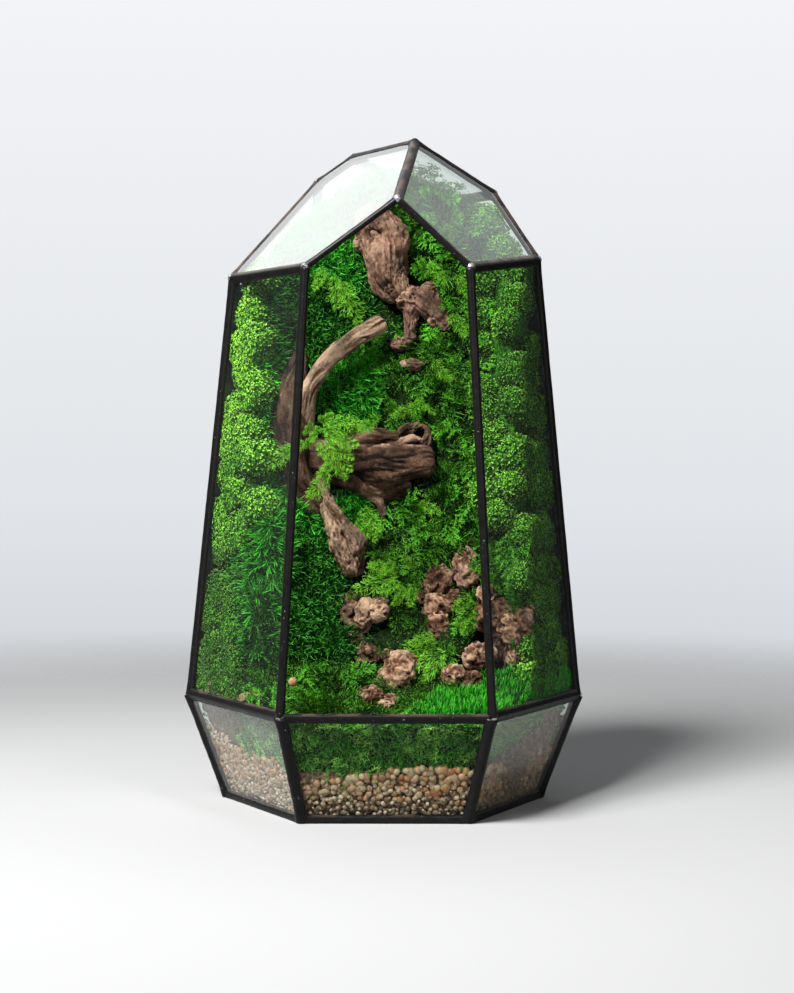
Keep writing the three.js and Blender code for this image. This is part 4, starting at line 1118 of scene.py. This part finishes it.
shape, uv = crumbs()
piece("soil_crumbs", shape, CRUMB, uv=uv)

# ---------------------------------------------------------------- moss

HEM_TOP = 46  # above this height the floor's moss begins


def leaf_map(tone, waist, corners):
    """The palette map of leaves: v is 0.01 at the root, 0.99 at the tip and the waist's share at the other
    corners; u is the tone, a little more and less at the two edges."""
    u = (0.02 + 0.96 * np.clip(tone, 0, 1))[:, None] + np.array([0, 0, 0.008, -0.008, 0])[:corners]
    return np.stack([u, np.broadcast_to([0.01, 0.99, waist, waist, waist][:corners], u.shape)], -1)


def lozenges(roots, tips, across, width, thick, tone):
    """Thin leaves, each a closed lozenge of four triangles: root, tip, and two edges at 0.45 of its length,
    set half a width to either side and a thickness below the keel."""
    way = tips - roots
    waist = roots + 0.45 * way + unit(np.cross(way, across)) * thick
    half = across * (width / 2)[:, None]
    points = np.stack([roots, tips, waist + half, waist - half], 1)
    faces = np.array([[0, 2, 1], [0, 1, 3], [0, 3, 2], [1, 2, 3]])
    return points, faces, leaf_map(tone, 0.45, 4)


def blades(roots, tips, across, width, thick, bow, tone):
    """Curved leaves, each a closed shape of six triangles: root, tip, two edges and a keel point at half
    its length, moved sideways by the bow."""
    way = tips - roots
    below = unit(np.cross(way, across))
    waist = roots + 0.5 * way + bow
    half = across * (width / 2)[:, None]
    points = np.stack([roots, tips, waist + half + below * thick, waist - half + below * thick, waist], 1)
    faces = np.array([[0, 2, 4], [0, 4, 3], [4, 2, 1], [3, 4, 1], [0, 3, 2], [1, 2, 3]])
    return points, faces, leaf_map(tone, 0.5, 5)


LEAF_ROOM, LEAF_SPREAD = 1.35, 0.9  # from a leaf's points to the centre plane of a pane: least, and spread


def foliage(batches, rng):
    """Batches of leaves as one shape with its palette map, every point held inside the glass by a slightly
    different room, so that pressed leaves don't lie in one plane."""
    shapes, maps = [], []
    for points, faces, uv in batches:
        room = LEAF_ROOM + LEAF_SPREAD * rng.random(points.shape[:2])
        pressed = points.copy()
        for wall in SIDE_WALLS + ROOF_WALLS:
            press_back(pressed, wall, room)
        shapes.append(copies(pressed, faces))
        maps.append(uv.reshape(-1, 2))
    return gathered(shapes), np.vstack(maps)


def frames_of(axes):
    """Two unit vectors square to each axis and to each other."""
    helper = np.where(np.abs(axes[..., 2:3]) < 0.9, np.array([0, 0, 1.0]), np.array([1.0, 0, 0]))
    side = unit(np.cross(axes, helper))
    return side, np.cross(axes, side)


GOLDEN_ANGLE = 2.39996


def spray(roots, axes, count, opening, length, width, shoot, rng):
    """Leaves round each axis: every leaf starts at a random height on a shoot and leans from the axis by a
    random angle of the opening, at turns of the golden angle. Returns roots, tips, sideways directions and
    widths."""
    side, other = frames_of(axes)
    turn = np.arange(count) * GOLDEN_ANGLE + rng.uniform(0, 6.3, (len(roots), 1))
    turn = turn + rng.normal(0, 0.3, (len(roots), count))
    lean = rng.uniform(*opening, (len(roots), count))
    radial = np.cos(turn)[..., None] * side[:, None] + np.sin(turn)[..., None] * other[:, None]
    way = np.cos(lean)[..., None] * axes[:, None] + np.sin(lean)[..., None] * radial
    start = roots[:, None] + axes[:, None] * (shoot * rng.random((len(roots), count)))[..., None]
    tip = start + way * (length * rng.uniform(0.7, 1.15, (len(roots), count)))[..., None]
    across = np.cross(axes[:, None], radial)
    flat = [a.reshape(-1, 3) for a in (start, tip, across)]
    return (*flat, width * rng.uniform(0.75, 1.2, len(flat[0])))


PANE_ROOM, ROOF_ROOM = 3.3, 9.0  # moss that is nearer to the glass than this counts as bare


def bare(places, normals):
    """True where the moss shows: a step of 3 mm along its normal leaves the planted bank or reaches the
    glass."""
    ahead = places + 3 * normals
    z = ahead[:, 2]
    in_bank = (ahead[:, 1] > bank_front(ahead[:, 0], z) + 1) & (z > 22)
    for side in ("front", "right_front"):
        in_bank &= (ahead @ LOWER[side][0] < LOWER[side][1] - SKIRT_ROOM) | (z > HEM_TOP)
    for side in ("left_front", "right_front"):
        room = PANE_ROOM + (DOME_ROOM - PANE_ROOM) * smoothstep(z, DOME_FROM, DOME_TO)
        in_bank &= ahead @ UPPER[side][0] < UPPER[side][1] - room
    return ~(in_bank & inside(ahead, PANE_ROOM, ROOF_ROOM))


def tones(places, rng, low, high, drift, size, seed=3):
    """A tone for each place: a slow random field plus a little chance, between low and high."""
    slow = 0.5 + drift * clouds(places, size, seed, 2)
    return low + (high - low) * np.clip(slow + rng.normal(0, 0.16, len(places)), 0, 1)


SHADED_HOLLOWS = [  # gaps between stones where no moss grows, so the near-black felt shows there as painted shade: x, z, radius
    (1.6, 87.5, 6.2), (-22, 108.5, 3.6), (66.5, 68, 4.6), (54.5, 68, 4.4), (36, 74.5, 3.6), (8, 80, 3.4)]
KEPT_CLEAR = np.vstack([HARDSCAPE, SHADED_HOLLOWS])


def clear_of_hardscape(points, margin):
    """True for points that, seen from the opening, lie off the wood, stones and hollows by the margin."""
    near = np.linalg.norm(points[:, None, ::2] - KEPT_CLEAR[None, :, :2], axis=-1) < KEPT_CLEAR[:, 2] + margin
    return ~near.any(1)


DOME_GAP = 13.5  # least distance between two domes
DOME_RADII = (7.6, 10.4)
DOME_CENTRE_ROOM, DOME_SKIN_ROOM = 6.8, 2.4  # from a dome's centre and skin to the centre plane of a pane
DOME_HEADS = 300  # rosettes on a whole ball
ROSETTE_LEAVES = 4


def bun_moss(spots, normals, seed, low, high):
    """Bun moss: domes 13.5 mm apart on the ground, each covered with rosettes of short leaves at the places
    of a golden spiral on a ball, and pressed back where they meet the glass. Rosettes inside another dome
    are left out, and those that face the light, up and to the left, get a lighter tone as painted light."""
    rng = np.random.default_rng(seed)
    kept = spaced(spots, DOME_GAP)
    spots, normals = spots[kept], unit(normals[kept] + np.array([0, -0.45, 0.12]))
    radius = rng.uniform(*DOME_RADII, len(spots))
    centres = held_in(spots + normals * (0.05 * radius)[:, None], DOME_CENTRE_ROOM)
    golden = np.arange(DOME_HEADS) + 0.5
    polar, turn = np.arccos(1 - 2 * golden / DOME_HEADS), golden * np.pi * (1 + 5 ** 0.5)
    ball = np.stack([np.sin(polar) * np.cos(turn), np.sin(polar) * np.sin(turn), np.cos(polar)], 1)
    ways = unit(ball + rng.normal(0, 0.05, (len(centres), DOME_HEADS, 3)))
    uneven = 1 + 0.12 * clouds(centres[:, None] + ways * radius[:, None, None], 4.0, seed, 2)
    heads = centres[:, None] + ways * (radius[:, None] * uneven)[..., None]
    buried = np.zeros(heads.shape[:2], bool)
    for centre, reach in zip(centres, radius):
        buried |= np.linalg.norm(heads - centre, axis=-1) < 0.88 * reach
    facing = (np.einsum("nkj,nj->nk", ways, normals) > -0.2) & ~buried & inside(heads, -4.0, -2.0)
    heads, axes = heads[facing], ways[facing]
    roots, tips, across, width = spray(heads, axes, ROSETTE_LEAVES, (0.35, 1.25), 1.9, 1.05, 0.3, rng)
    # Rosettes that face the key light, up and to the left, get a lighter tone: painted light.
    lit = np.einsum("nkj,nj->nk", ways, unit(normals + np.array([-0.35, -0.2, 0.6])))[facing]
    tone = tones(heads, rng, low, high, 0.6, 16) + 0.55 * (lit - 0.62)
    tone = np.repeat(tone, ROSETTE_LEAVES) + rng.normal(0, 0.12, len(roots))
    return dome_mats(centres, radius * 0.95), [lozenges(roots, tips, across, width, 0.12, tone)], rng


def dome_mats(centres, radii):
    """The bodies of domes: balls pressed back from the glass."""
    points, faces = DOME_FORM
    placed = centres[:, None] + points[None] * radii[:, None, None]
    return copies(held_in(placed, DOME_SKIN_ROOM), faces)


def needle_tufts(places, normals, rng, seed, length, count, low, high):
    """Tufts of needle moss: each a short shoot with needles that arch outwards."""
    axes = unit(normals + rng.normal(0, 0.35, places.shape) + np.array([0, -0.2, 0.15]))
    roots, tips, across, width = spray(places - axes * 1.0, axes, count, (0.15, 1.15), length, 0.56, 3.2, rng)
    tone = np.repeat(tones(places, rng, low, high, 0.55, 20, seed), count) + rng.normal(0, 0.1, len(roots))
    bow = unit(np.cross(tips - roots, across)) * rng.uniform(-1.0, 0.15, (len(roots), 1))
    tips = tips + np.array([0, 0, -0.5]) * rng.random((len(roots), 1))
    return blades(roots, tips, across, width, 0.1, bow, tone)


GRASS_SHOOTS = 5200  # at most, in a zone
ARCH = 0.22  # how far the tip of a frond's stem hangs, as a share of its length


def feather_frond(rng, pairs=9, leaflets=3, reach=0.34, turn=0.75, leaf=0.085, slim=0.03):
    """One feather moss frond of unit length along +x in its own frame: its stem arches down by 0.22 s^2,
    side branches leave it in pairs, their length a sine of the place s along it, and slim leaflets sit in
    two rows on each branch."""
    s = np.repeat(np.linspace(0.1, 0.97, pairs), 2) + rng.normal(0, 0.012, 2 * pairs)
    hand = np.tile([1.0, -1.0], pairs)
    base = np.stack([s, np.zeros_like(s), -ARCH * s ** 2], 1)
    lean = np.radians(56 - 20 * s) + rng.normal(0, 0.16, len(s))
    size = (reach * np.sin(np.pi * (0.12 + 0.86 * s) ** 0.85) + 0.05) * rng.uniform(0.7, 1.2, len(s))
    way = unit(np.stack([np.cos(lean), hand * np.sin(lean), rng.normal(0.0, 0.24, len(s)) - 0.3 * s], 1))
    up = np.array([0, 0, 1.0])
    stem = np.linspace(0, 1, 6)
    line = np.stack([stem, 0 * stem, -ARCH * stem ** 2], 1)
    across = unit(np.cross(up, way))
    parts = [(base, base + way * size[:, None], across, np.full(len(s), 0.045), 0.05 + 0.25 * s - 0.1),
             (line[:-1], line[1:] + 0.02 * (line[1:] - line[:-1]), np.tile([0, 1.0, 0], (5, 1)),
              np.full(5, 0.04), np.full(5, -0.05))]
    for place in np.linspace(0.2, 0.95, leaflets):
        for side in (turn, -turn):
            aim = unit(np.cos(side) * way + np.sin(side) * np.cross(up, way) + rng.normal(0, 0.2, way.shape))
            long = (leaf - 0.03 * place) * rng.uniform(0.75, 1.25, len(s)) * np.clip(size / 0.22, 0.5, 1.1)
            start = base + way * (size * place)[:, None]
            parts.append((start, start + aim * long[:, None], unit(np.cross(up, aim)), np.full(len(s), slim),
                          0.15 * place + 0.25 * s - 0.1 + rng.normal(0, 0.07, len(s))))
    return [np.concatenate(column) for column in zip(*parts)]


def frond_forms(seed, count, *measures):
    """Some frond forms of one kind, each with its own random numbers."""
    return [feather_frond(np.random.default_rng(seed + k), *measures) for k in range(count)]


FRONDS = frond_forms(500, 5)
LONG_FRONDS = frond_forms(520, 4, 8, 4, 0.24, 0.6, 0.15, 0.019)
HEM_FRONDS = frond_forms(540, 4, 7, 2, 0.3, 0.6, 0.16, 0.03)
PLAIN_FRONDS = frond_forms(560, 4, 7, 1, 0.36)
FROND_LEAF_WIDTHS = (0.26, 0.85)


def feather_fronds(places, ways, normals, sizes, tone, rng, forms):
    """Fronds laid out from each place: the frond's own x runs along its way and its z along the normal."""
    batches = []
    kinds = rng.integers(0, len(forms), len(places))
    x = unit(ways)
    z = unit(normals - x * np.sum(normals * x, 1, keepdims=True))
    y = np.cross(z, x)
    for kind, (roots, tips, across, width, shade) in enumerate(forms):
        chosen = kinds == kind
        if not chosen.any():
            continue
        turn = np.stack([x[chosen], y[chosen], z[chosen]], -1)
        moved = [np.einsum("nij,kj->nki", turn, a) for a in (roots, tips, across)]
        size = sizes[chosen][:, None, None]
        ends = [places[chosen][:, None] + size * a for a in moved[:2]]
        starts, stops, sideways = (a.reshape(-1, 3) for a in (*ends, moved[2]))
        widths = np.clip((sizes[chosen][:, None] * width).ravel(), *FROND_LEAF_WIDTHS)
        shades = (tone[chosen][:, None] + shade + rng.normal(0, 0.05, (chosen.sum(), len(shade)))).ravel()
        batches.append(lozenges(starts, stops, sideways, widths, 0.08, shades))
    return batches


def needle_moss(spots, normals, seed, gap=2.6, length=7.0, low=0.0, high=1.0):
    """Needle moss on the ground, a tuft for each gap."""
    rng = np.random.default_rng(seed)
    kept = spaced(spots, gap)
    return [needle_tufts(spots[kept], normals[kept], rng, seed, length, 18, low, high)], rng


def feather_moss(spots, normals, seed, gap=4.6, size=(12, 23), low=0.05, high=0.95, lift=(0.15, 1.3),
                 forms=FRONDS):
    """Feather moss on the ground: a fluff of small leaves, toned dark as painted shade under the fronds, and
    over it fronds that hang down the slope, each swung to a side and lifted by a random amount, but none
    over the wood and stones."""
    rng = np.random.default_rng(seed)
    fluff = spaced(spots, 1.9)
    axes = unit(normals[fluff] + rng.normal(0, 0.5, (len(fluff), 3)))
    roots, tips, across, width = spray(spots[fluff], axes, 5, (0.3, 1.3), 3.4, 0.55, 1.2, rng)
    # The fluff's tones are held low: painted shade under the fronds.
    tone = np.repeat(tones(spots[fluff], rng, low - 0.15, 0.3 * high, 0.5, 18, seed), 5)
    batches = [lozenges(roots, tips, across, width, 0.1, tone)]
    kept = spaced(spots, gap)
    at, normal = spots[kept], normals[kept]
    down = np.array([0, 0, -1.0])
    fall = unit(down - normal * (normal @ down)[:, None] + 1e-6)
    swing = rng.normal(0, 1.2, len(at))
    flat = np.cos(swing)[:, None] * fall + np.sin(swing)[:, None] * np.cross(normal, fall)
    ways = unit(flat + normal * rng.uniform(*lift, (len(at), 1)))
    sizes = rng.uniform(*size, len(at))
    start = at - ways * (0.2 * sizes)[:, None]
    open_way = clear_of_hardscape(start + ways * (0.7 * sizes)[:, None], 0.5)
    at, start, ways, normal, sizes = (a[open_way] for a in (at, start, ways, normal, sizes))
    tone = tones(at, rng, low, high, 0.7, 16, seed) + 0.35 * (rng.random(len(at)) < 0.2)
    facing = unit(normal + 0.6 * rng.normal(size=normal.shape))
    return batches + feather_fronds(start, ways, facing, sizes, tone, rng, forms), rng


def grass_moss(spots, normals, seed, low, high):
    """Grassy moss: three upright blades on each place, bowed a little."""
    rng = np.random.default_rng(seed)
    spots, normals = spots[:GRASS_SHOOTS], normals[:GRASS_SHOOTS]
    axes = unit(normals + np.array([0, -0.15, 0.9]) + rng.normal(0, 0.2, spots.shape))
    roots, tips, across, width = spray(spots, axes, 3, (0.05, 0.5), 4.6, 0.34, 0.5, rng)
    bow = np.array([0, 0, 0.35]) * rng.random((len(roots), 1))
    tone = np.repeat(tones(spots, rng, low, high, 0.4, 12, seed), 3) + rng.normal(0, 0.12, len(roots))
    return [blades(roots, tips, across, width, 0.08, bow, tone)], rng


MOSSES = {name for name in NODES if name.startswith("moss_")}
CUSHIONS = sorted(MOSSES - {"moss_tuft_left", "moss_draped_frond"})
mats = []
for index, name in enumerate(CUSHIONS):
    mats.append(displaced(name, 2.3, 1.2, 5, 600 + index, 1.6))
    felt = BUN_FELT if "column" in name else FELT
    piece(name.replace("moss_", "felt_"), mats[-1], felt, [name])
SOWN_PLACES = 170000  # places for moss on the whole planting, most of which aren't used
rng = np.random.default_rng(590)
spots, spot_normals = sown(*gathered([*mats, BANK]), SOWN_PLACES, rng)
shown = bare(spots, spot_normals) & inside(spots, 0.8, 0.8)
spots, spot_normals = spots[shown], spot_normals[shown]
x, y, z = spots.T
planted = y < bank_front(x, z) + 8
planted |= (z > 262) & (y < 40) | (np.abs(x) > 44) & (y < 14)
planted &= (z > HEM_TOP) | (y < -4)
rear_spots, rear_normals = spots[~planted], spot_normals[~planted]
spots, spot_normals = spots[planted], spot_normals[planted]
off_hardscape = clear_of_hardscape(spots, -0.5)


def zone(x_low, x_high, z_low, z_high):
    """Sown places between two x and two heights, off the wood and stones, and their normals."""
    x, z = spots[:, 0], spots[:, 2]
    kept = (x > x_low) & (x < x_high) & (z > z_low) & (z < z_high) & off_hardscape
    return spots[kept], spot_normals[kept]


def leaves(name, batches, rng, finish, nodes=()):
    """A piece of leaves, which keep their flat faces."""
    shape, uv = foliage(batches, rng)
    piece("leaves_" + name, shape, finish, nodes, smooth=False, uv=uv)


BUNS = {  # limits in x and z, and the tones' limits, which differ from zone to zone and partly paint light and shade
    "column_left_low": (-99, -70, 50, 124, -0.4, 0.4), "column_left_middle": (-99, -60, 124, 170, 0.2, 0.85),
    "column_left_high": (-99, -60, 170, 316, 0.3, 1.0), "column_right_low": (64, 99, 62, 130, 0.0, 0.65),
    "column_right_middle": (49, 99, 130, 190, 0.05, 0.65), "column_right_high": (47, 99, 190, 316, 0.05, 0.6)}
# The low left and upper left needles are toned dark as painted shade, and the middle left ones lighter as
# painted light where the branch shades them.
NEEDLES = {"low_left": (-70, -14, 70, 130, -0.75, 0.38), "middle_left": (-60, -4, 130, 215, 0.35, 1.1),
           "upper_left": (-60, -6, 215, 314, -0.65, 0.48)}
FEATHERS = {"floor_left": (-70, 6, 44, 70, -0.05, 0.8), "low_middle": (-14, 24, 70, 130, -0.25, 0.7),
            "low_right": (24, 64, 70, 130, -0.2, 0.7), "middle_right": (-4, 48, 130, 215, -0.15, 0.85),
            "upper_right": (-6, 47, 215, 262, 0.1, 0.95), "crown": (-6, 47, 262, 316, 0.1, 0.9)}
for index, (name, (*limits, low, high)) in enumerate(BUNS.items()):
    domes, batches, rng = bun_moss(*zone(*limits), 600 + index, low, high)
    piece("domes_" + name, domes, BUN_FELT)
    leaves(name, batches, rng, BUN_LEAF)
for index, (name, (*limits, low, high)) in enumerate(NEEDLES.items()):
    batches, rng = needle_moss(*zone(*limits), 620 + index, low=low, high=high)
    leaves(name, batches, rng, NEEDLE_LEAF)
for index, (name, (*limits, low, high)) in enumerate(FEATHERS.items()):
    batches, rng = feather_moss(*zone(*limits), 640 + index, low=low, high=high)
    leaves(name, batches, rng, FEATHER_LEAF)

grass, grass_normals = zone(6, 99, 44, 70)
mound = grass[:, 2] < 48 + 0.56 * (grass[:, 0] - 8)
batches, rng = grass_moss(grass[mound], grass_normals[mound], 660, 0.1, 1.0)
leaves("floor_right", batches, rng, GRASS_LEAF)
batches, rng = feather_moss(grass[~mound], grass_normals[~mound], 663, 4.4, (9, 16), 0.0, 0.7)
leaves("grass_edge", batches, rng, FEATHER_LEAF)

hem, hem_normals = zone(-66, 84, 18, HEM_TOP)
edge = np.where(hem[:, 0] < 48, 19 + 8 * smoothstep(hem[:, 0], -34, 26), 28 + 0.6 * (hem[:, 0] - 48))
above = hem[:, 2] > edge
hem, hem_normals = hem[above], hem_normals[above]
batches, rng = needle_moss(hem, hem_normals, 661, 3.2, 4.2, 0.1, 0.6)
leaves("front_skirt", batches, rng, NEEDLE_LEAF)
batches, rng = feather_moss(hem, hem_normals, 662, 4.0, (8, 15), 0.1, 1.1, (0.1, 0.6), HEM_FRONDS)
leaves("front_hem", batches, rng, HEM_LEAF)
# A clump of needle moss high on the left, toned lighter than the rest, partly its own brighter growth and
# partly painted light on its lit side.
batches, rng = needle_moss(*zone(-37, -13, 251, 272), 664, 2.8, 8.0, 0.8, 1.3)
leaves("bright_clump", batches, rng, NEEDLE_LEAF)

rng = np.random.default_rng(665)
kept = spaced(rear_spots, 7.2)
at, normal = rear_spots[kept], rear_normals[kept]
ways = unit(np.array([0, 0, -1.0]) + rng.normal(0, 0.6, at.shape) + 0.1 * normal)
sizes, tone = rng.uniform(13, 22, len(at)), tones(at, rng, 0.2, 1.2, 0.7, 20)
for side, half in (("left", at[:, 0] < 0), ("right", at[:, 0] >= 0)):
    batches = feather_fronds(at[half], ways[half], normal[half], sizes[half], tone[half], rng, PLAIN_FRONDS)
    leaves("rear_cover_" + side, batches, rng, FEATHER_LEAF)


# star-shaped shoots with long needles, one above another on the left
rng = np.random.default_rng(670)
tuft, tuft_normals = sown(*recut("moss_tuft_left", 1.6), 900, rng)
shown = tuft_normals[:, 1] < 0.5
tuft, tuft_normals = tuft[shown], tuft_normals[shown]
kept = spaced(tuft, 4.2)
low, low_normals = zone(-63, -46, 92, 128)
low_kept = spaced(low, 6.0)
shoots = np.vstack([tuft[kept] - 2.5 * tuft_normals[kept], low[low_kept]])
shoot_normals = np.vstack([tuft_normals[kept], low_normals[low_kept]])
tufts = [needle_tufts(shoots, shoot_normals, rng, 5, 9.5, 26, 0.5, 1.0)]
leaves("spiky_tuft", tufts, rng, NEEDLE_LEAF, ["moss_tuft_left"])


def laid_fronds(lines, tone, rng):
    """Long fronds laid along given lines, each from a root to a tip."""
    lines = np.array(lines, float)
    start, way = lines[:, :3], lines[:, 3:] - lines[:, :3]
    normals = unit(np.array([0, -1.0, 0.25]) + rng.normal(0, 0.3, start.shape))
    sizes = np.linalg.norm(way, axis=1)
    return feather_fronds(start, way, normals, sizes, np.full(len(lines), tone), rng, LONG_FRONDS)


DRAPED = [  # bright fronds that hang over the trunk: root and tip
    (-29.6, -24, 183.5, -12.6, -28, 183.9), (-31.9, -24, 179.9, -15, -28, 180.7),
    (-30.4, -24, 176.8, -14.2, -28, 174.4), (-29.2, -24, 173.6, -15.8, -28, 168.1),
    (-28, -24, 170.5, -16.2, -28, 162.2), (-26, -25, 167.7, -20.1, -28, 156.7),
    (-24.1, -26, 164.1, -31.9, -28, 158.6), (-26.3, -27, 161, -36.3, -29, 148),
    (-34.9, -24, 183.9, -38.1, -27, 177.6), (-33.9, -24, 177.9, -38.1, -27, 171.2),
    (-32.7, -24, 174.4, -30, -28, 166.5), (-32.7, -24, 183.5, -26, -27, 186.6),
    (-29.6, -24, 181.1, -21.7, -28, 174), (-28.4, -24, 177.2, -22.1, -28, 166.5),
    (-37.5, -24, 174, -48.9, -27, 168.1), (-42.6, -24, 172.4, -55.2, -28, 163.4),
    (-31.2, -24, 181.9, -35.5, -27, 174.8), (-24.9, -25, 170.1, -28.4, -28, 162.2),
    (-22.5, -25, 177.9, -17.8, -28, 170.1),
]
rng = np.random.default_rng(680)
sprig = laid_fronds(DRAPED, 0.35, rng)
leaves("draped_fronds", sprig, rng, FROND_LEAF, ["moss_draped_frond"])

ACCENTS = [  # bright fronds that stand out of the moss: root and tip
    (-29, -2, 258, -35, -5, 249), (-24.8, -2, 256, -24.3, -6, 239.7), (-23.4, -2, 254, -13.6, -7, 232.9),
    (-22.4, -3, 250, -17, -6, 239),
    (7.3, -26, 110.2, -13.2, -31, 105.8), (5.7, -26, 114.2, -7.1, -30, 116.6),
    (8.1, -27, 107.7, -3.1, -31, 104.5),
    (10.5, -28, 105.3, 4.1, -31, 97.3), (15.4, -26, 114.2, 8.9, -30, 119), (13.8, -27, 107.7, 12, -31, 97.3),
    (4.5, -26, 118, -1, -30, 112),
    (26, -33, 80, 7, -38, 73), (29.7, -34, 76, 12.6, -40, 69.8), (28, -36, 73, 17, -42, 64),
    (24, -33, 83, 12, -37, 80),
    (44.2, -28, 99, 35, -33, 88), (45, -30, 94, 38, -35, 84), (42, -27, 101, 33, -31, 95),
    (16, -14, 191, 4, -18, 187), (-3, -12, 187, -12, -17, 180), (14, -14, 196, 24, -18, 190),
    (-12, -16, 143, -2.5, -22, 133), (15.3, -14, 146, 25, -19, 140), (-14, -17, 138, -6, -22, 127),
    (22, -12, 214, 30, -16, 204), (30, -10, 236, 38, -14, 226), (20, -4, 262, 28, -9, 252),
    (33, -8, 256, 40, -12, 246),
    (50, -58, 44, 58, -57, 35), (52, -60, 42, 51, -63, 33), (55, -56, 43, 63, -52, 36),
    (54, -63, 46, 60, -50, 37), (58, -56, 47, 66, -41, 41), (64, -45, 47, 71, -33, 42),
    (51, -66, 40, 50, -61, 29),
]
rng = np.random.default_rng(690)
leaves("accent_fronds", laid_fronds(ACCENTS, 0.3, rng), rng, FROND_LEAF)

# ---------------------------------------------------------------- stage, light and camera


def floor_finish():
    """Pale matt floor that fades out into the pale surround far from the object."""
    f = Finish("studio_floor")
    far = f.node("ShaderNodeVectorMath", {"operation": "LENGTH"}, {0: f.places()}, out="Value")
    paint = f.node("ShaderNodeBsdfDiffuse", {}, {"Color": (0.27, 0.27, 0.27)})
    gone = f.node("ShaderNodeBsdfTransparent")
    return f.done(f.node("ShaderNodeMixShader", {}, {0: f.mask(far, 0.2, 0.95), 1: paint, 2: gone}))


def surround():
    """What lies round the object: a pale backdrop, and for its light and its mirror images a dim room with
    a bright ceiling and a bright panel high behind."""
    world = bpy.data.worlds.new("pale_surround")
    bpy.context.scene.world = world
    f = Finish("surround_nodes")
    bpy.data.materials.remove(f.material)
    world.use_nodes = True
    f.tree = world.node_tree
    f.tree.nodes.clear()
    way = f.node("ShaderNodeTexCoord", out="Generated")
    height, behind = f.part(way, "Z"), f.part(way, "Y")
    backdrop = f.ramp(f.node("ShaderNodeMapRange", {}, {"Value": height, "From Min": -0.3, "From Max": 0.3}),
                      (0.0, (0.66, 0.67, 0.68)), (0.25, (0.6, 0.63, 0.66)), (0.45, (0.76, 0.78, 0.81)),
                      (1.0, (0.93, 0.94, 0.96)))
    right = f.part(way, "X")
    left = 0 - right
    low = 1 - f.mask(height, 0.05, 0.35)
    panel = 1.6 * f.mask(height, 0.2, 0.46) * f.mask(behind, 0.25, 0.8) * (1 - 0.6 * f.mask(right, -0.2, 0.5))
    glow = 0.05 + panel + 0.22 * f.mask(height, 0.3, 0.75) + 0.05 * f.mask(left, 0.55, 0.9) * low
    seen = f.node("ShaderNodeLightPath", out="Is Camera Ray")
    show = f.node("ShaderNodeBackground", {}, {"Color": backdrop})
    lit = f.node("ShaderNodeBackground", {}, {"Color": (0.95, 0.98, 1.0), "Strength": glow})
    both = f.node("ShaderNodeMixShader", {}, {0: seen, 1: lit, 2: show})
    out = f.tree.nodes.new("ShaderNodeOutputWorld")
    f.tree.links.new(both.socket, out.inputs["Surface"])


LAMPS = {  # place, aim, width of the disc, watts
    "key_light": ((-0.62, -0.8, 1.3), (0, 0, 0.16), 0.62, 92),
    "right_fill": ((1.1, -1.3, 0.55), (0, 0, 0.15), 0.9, 6),
}


FLOOR_RADII = np.array([0.1, 0.4, 0.8, 1.2, 1.6]) * 1000
FLOOR_SIDES, FLOOR_Z, FLOOR_THICKNESS = 96, -0.02, 2.0


def studio():
    """A round floor under the object, a disc with two faces, and the lamps."""
    turn = 2 * np.pi * np.arange(FLOOR_SIDES) / FLOOR_SIDES
    disc = np.stack([FLOOR_RADII[:, None] * np.cos(turn), FLOOR_RADII[:, None] * np.sin(turn),
                     np.full((len(FLOOR_RADII), FLOOR_SIDES), FLOOR_Z)], -1)
    points, faces = wrapped(np.concatenate([disc, disc[::-1] - np.array([0, 0, FLOOR_THICKNESS])]))
    mesh = bpy.data.meshes.new("studio_floor")
    mesh.from_pydata((points * MM).tolist(), [], faces.tolist())
    mesh.materials.append(floor_finish())
    floor = bpy.data.objects.new("studio_floor", mesh)
    bpy.context.scene.collection.objects.link(floor)
    for name, (at, aim, size, power) in LAMPS.items():
        data = bpy.data.lights.new(name, "AREA")
        data.shape, data.size, data.energy = "DISK", size, power
        lamp = bpy.data.objects.new(name, data)
        lamp.location = at
        lamp.rotation_euler = (Vector(at) - Vector(aim)).to_track_quat("Z", "Y").to_euler()
        bpy.context.scene.collection.objects.link(lamp)


CAMERA_AT = (-13.2, -946.8, 172.4)
CAMERA_PITCH, CAMERA_YAW, CAMERA_ROLL = 1.510, 1.158, 0.298  # degrees
PICTURE_HEIGHT, FOCAL_PIXELS, SENSOR = 993, 1938.7, 36


def camera():
    """A camera at its place, pitched down, yawed to the right and rolled about its own axis."""
    data = bpy.data.cameras.new("photo_angle")
    data.sensor_width = SENSOR
    data.lens = FOCAL_PIXELS / PICTURE_HEIGHT * SENSOR
    data.clip_start, data.clip_end = 0.05, 50
    made = bpy.data.objects.new("photo_angle", data)
    pitch, yaw, roll = np.radians([CAMERA_PITCH, CAMERA_YAW, CAMERA_ROLL])
    right = np.array([1.0, 0, 0])
    up = np.array([0, np.sin(pitch), np.cos(pitch)])
    back = np.array([0, -np.cos(pitch), np.sin(pitch)])
    rolled = [right * np.cos(roll) + up * np.sin(roll), up * np.cos(roll) - right * np.sin(roll), back]
    spin = np.array([[np.cos(yaw), np.sin(yaw), 0], [-np.sin(yaw), np.cos(yaw), 0], [0, 0, 1]])
    turn = Matrix(np.array([spin @ axis for axis in rolled]).T.tolist())
    made.matrix_world = Matrix.Translation(Vector(CAMERA_AT) * MM) @ turn.to_4x4()
    bpy.context.scene.collection.objects.link(made)
    bpy.context.scene.camera = made


studio()
surround()
camera()
bpy.context.scene.view_settings.view_transform = "Standard"
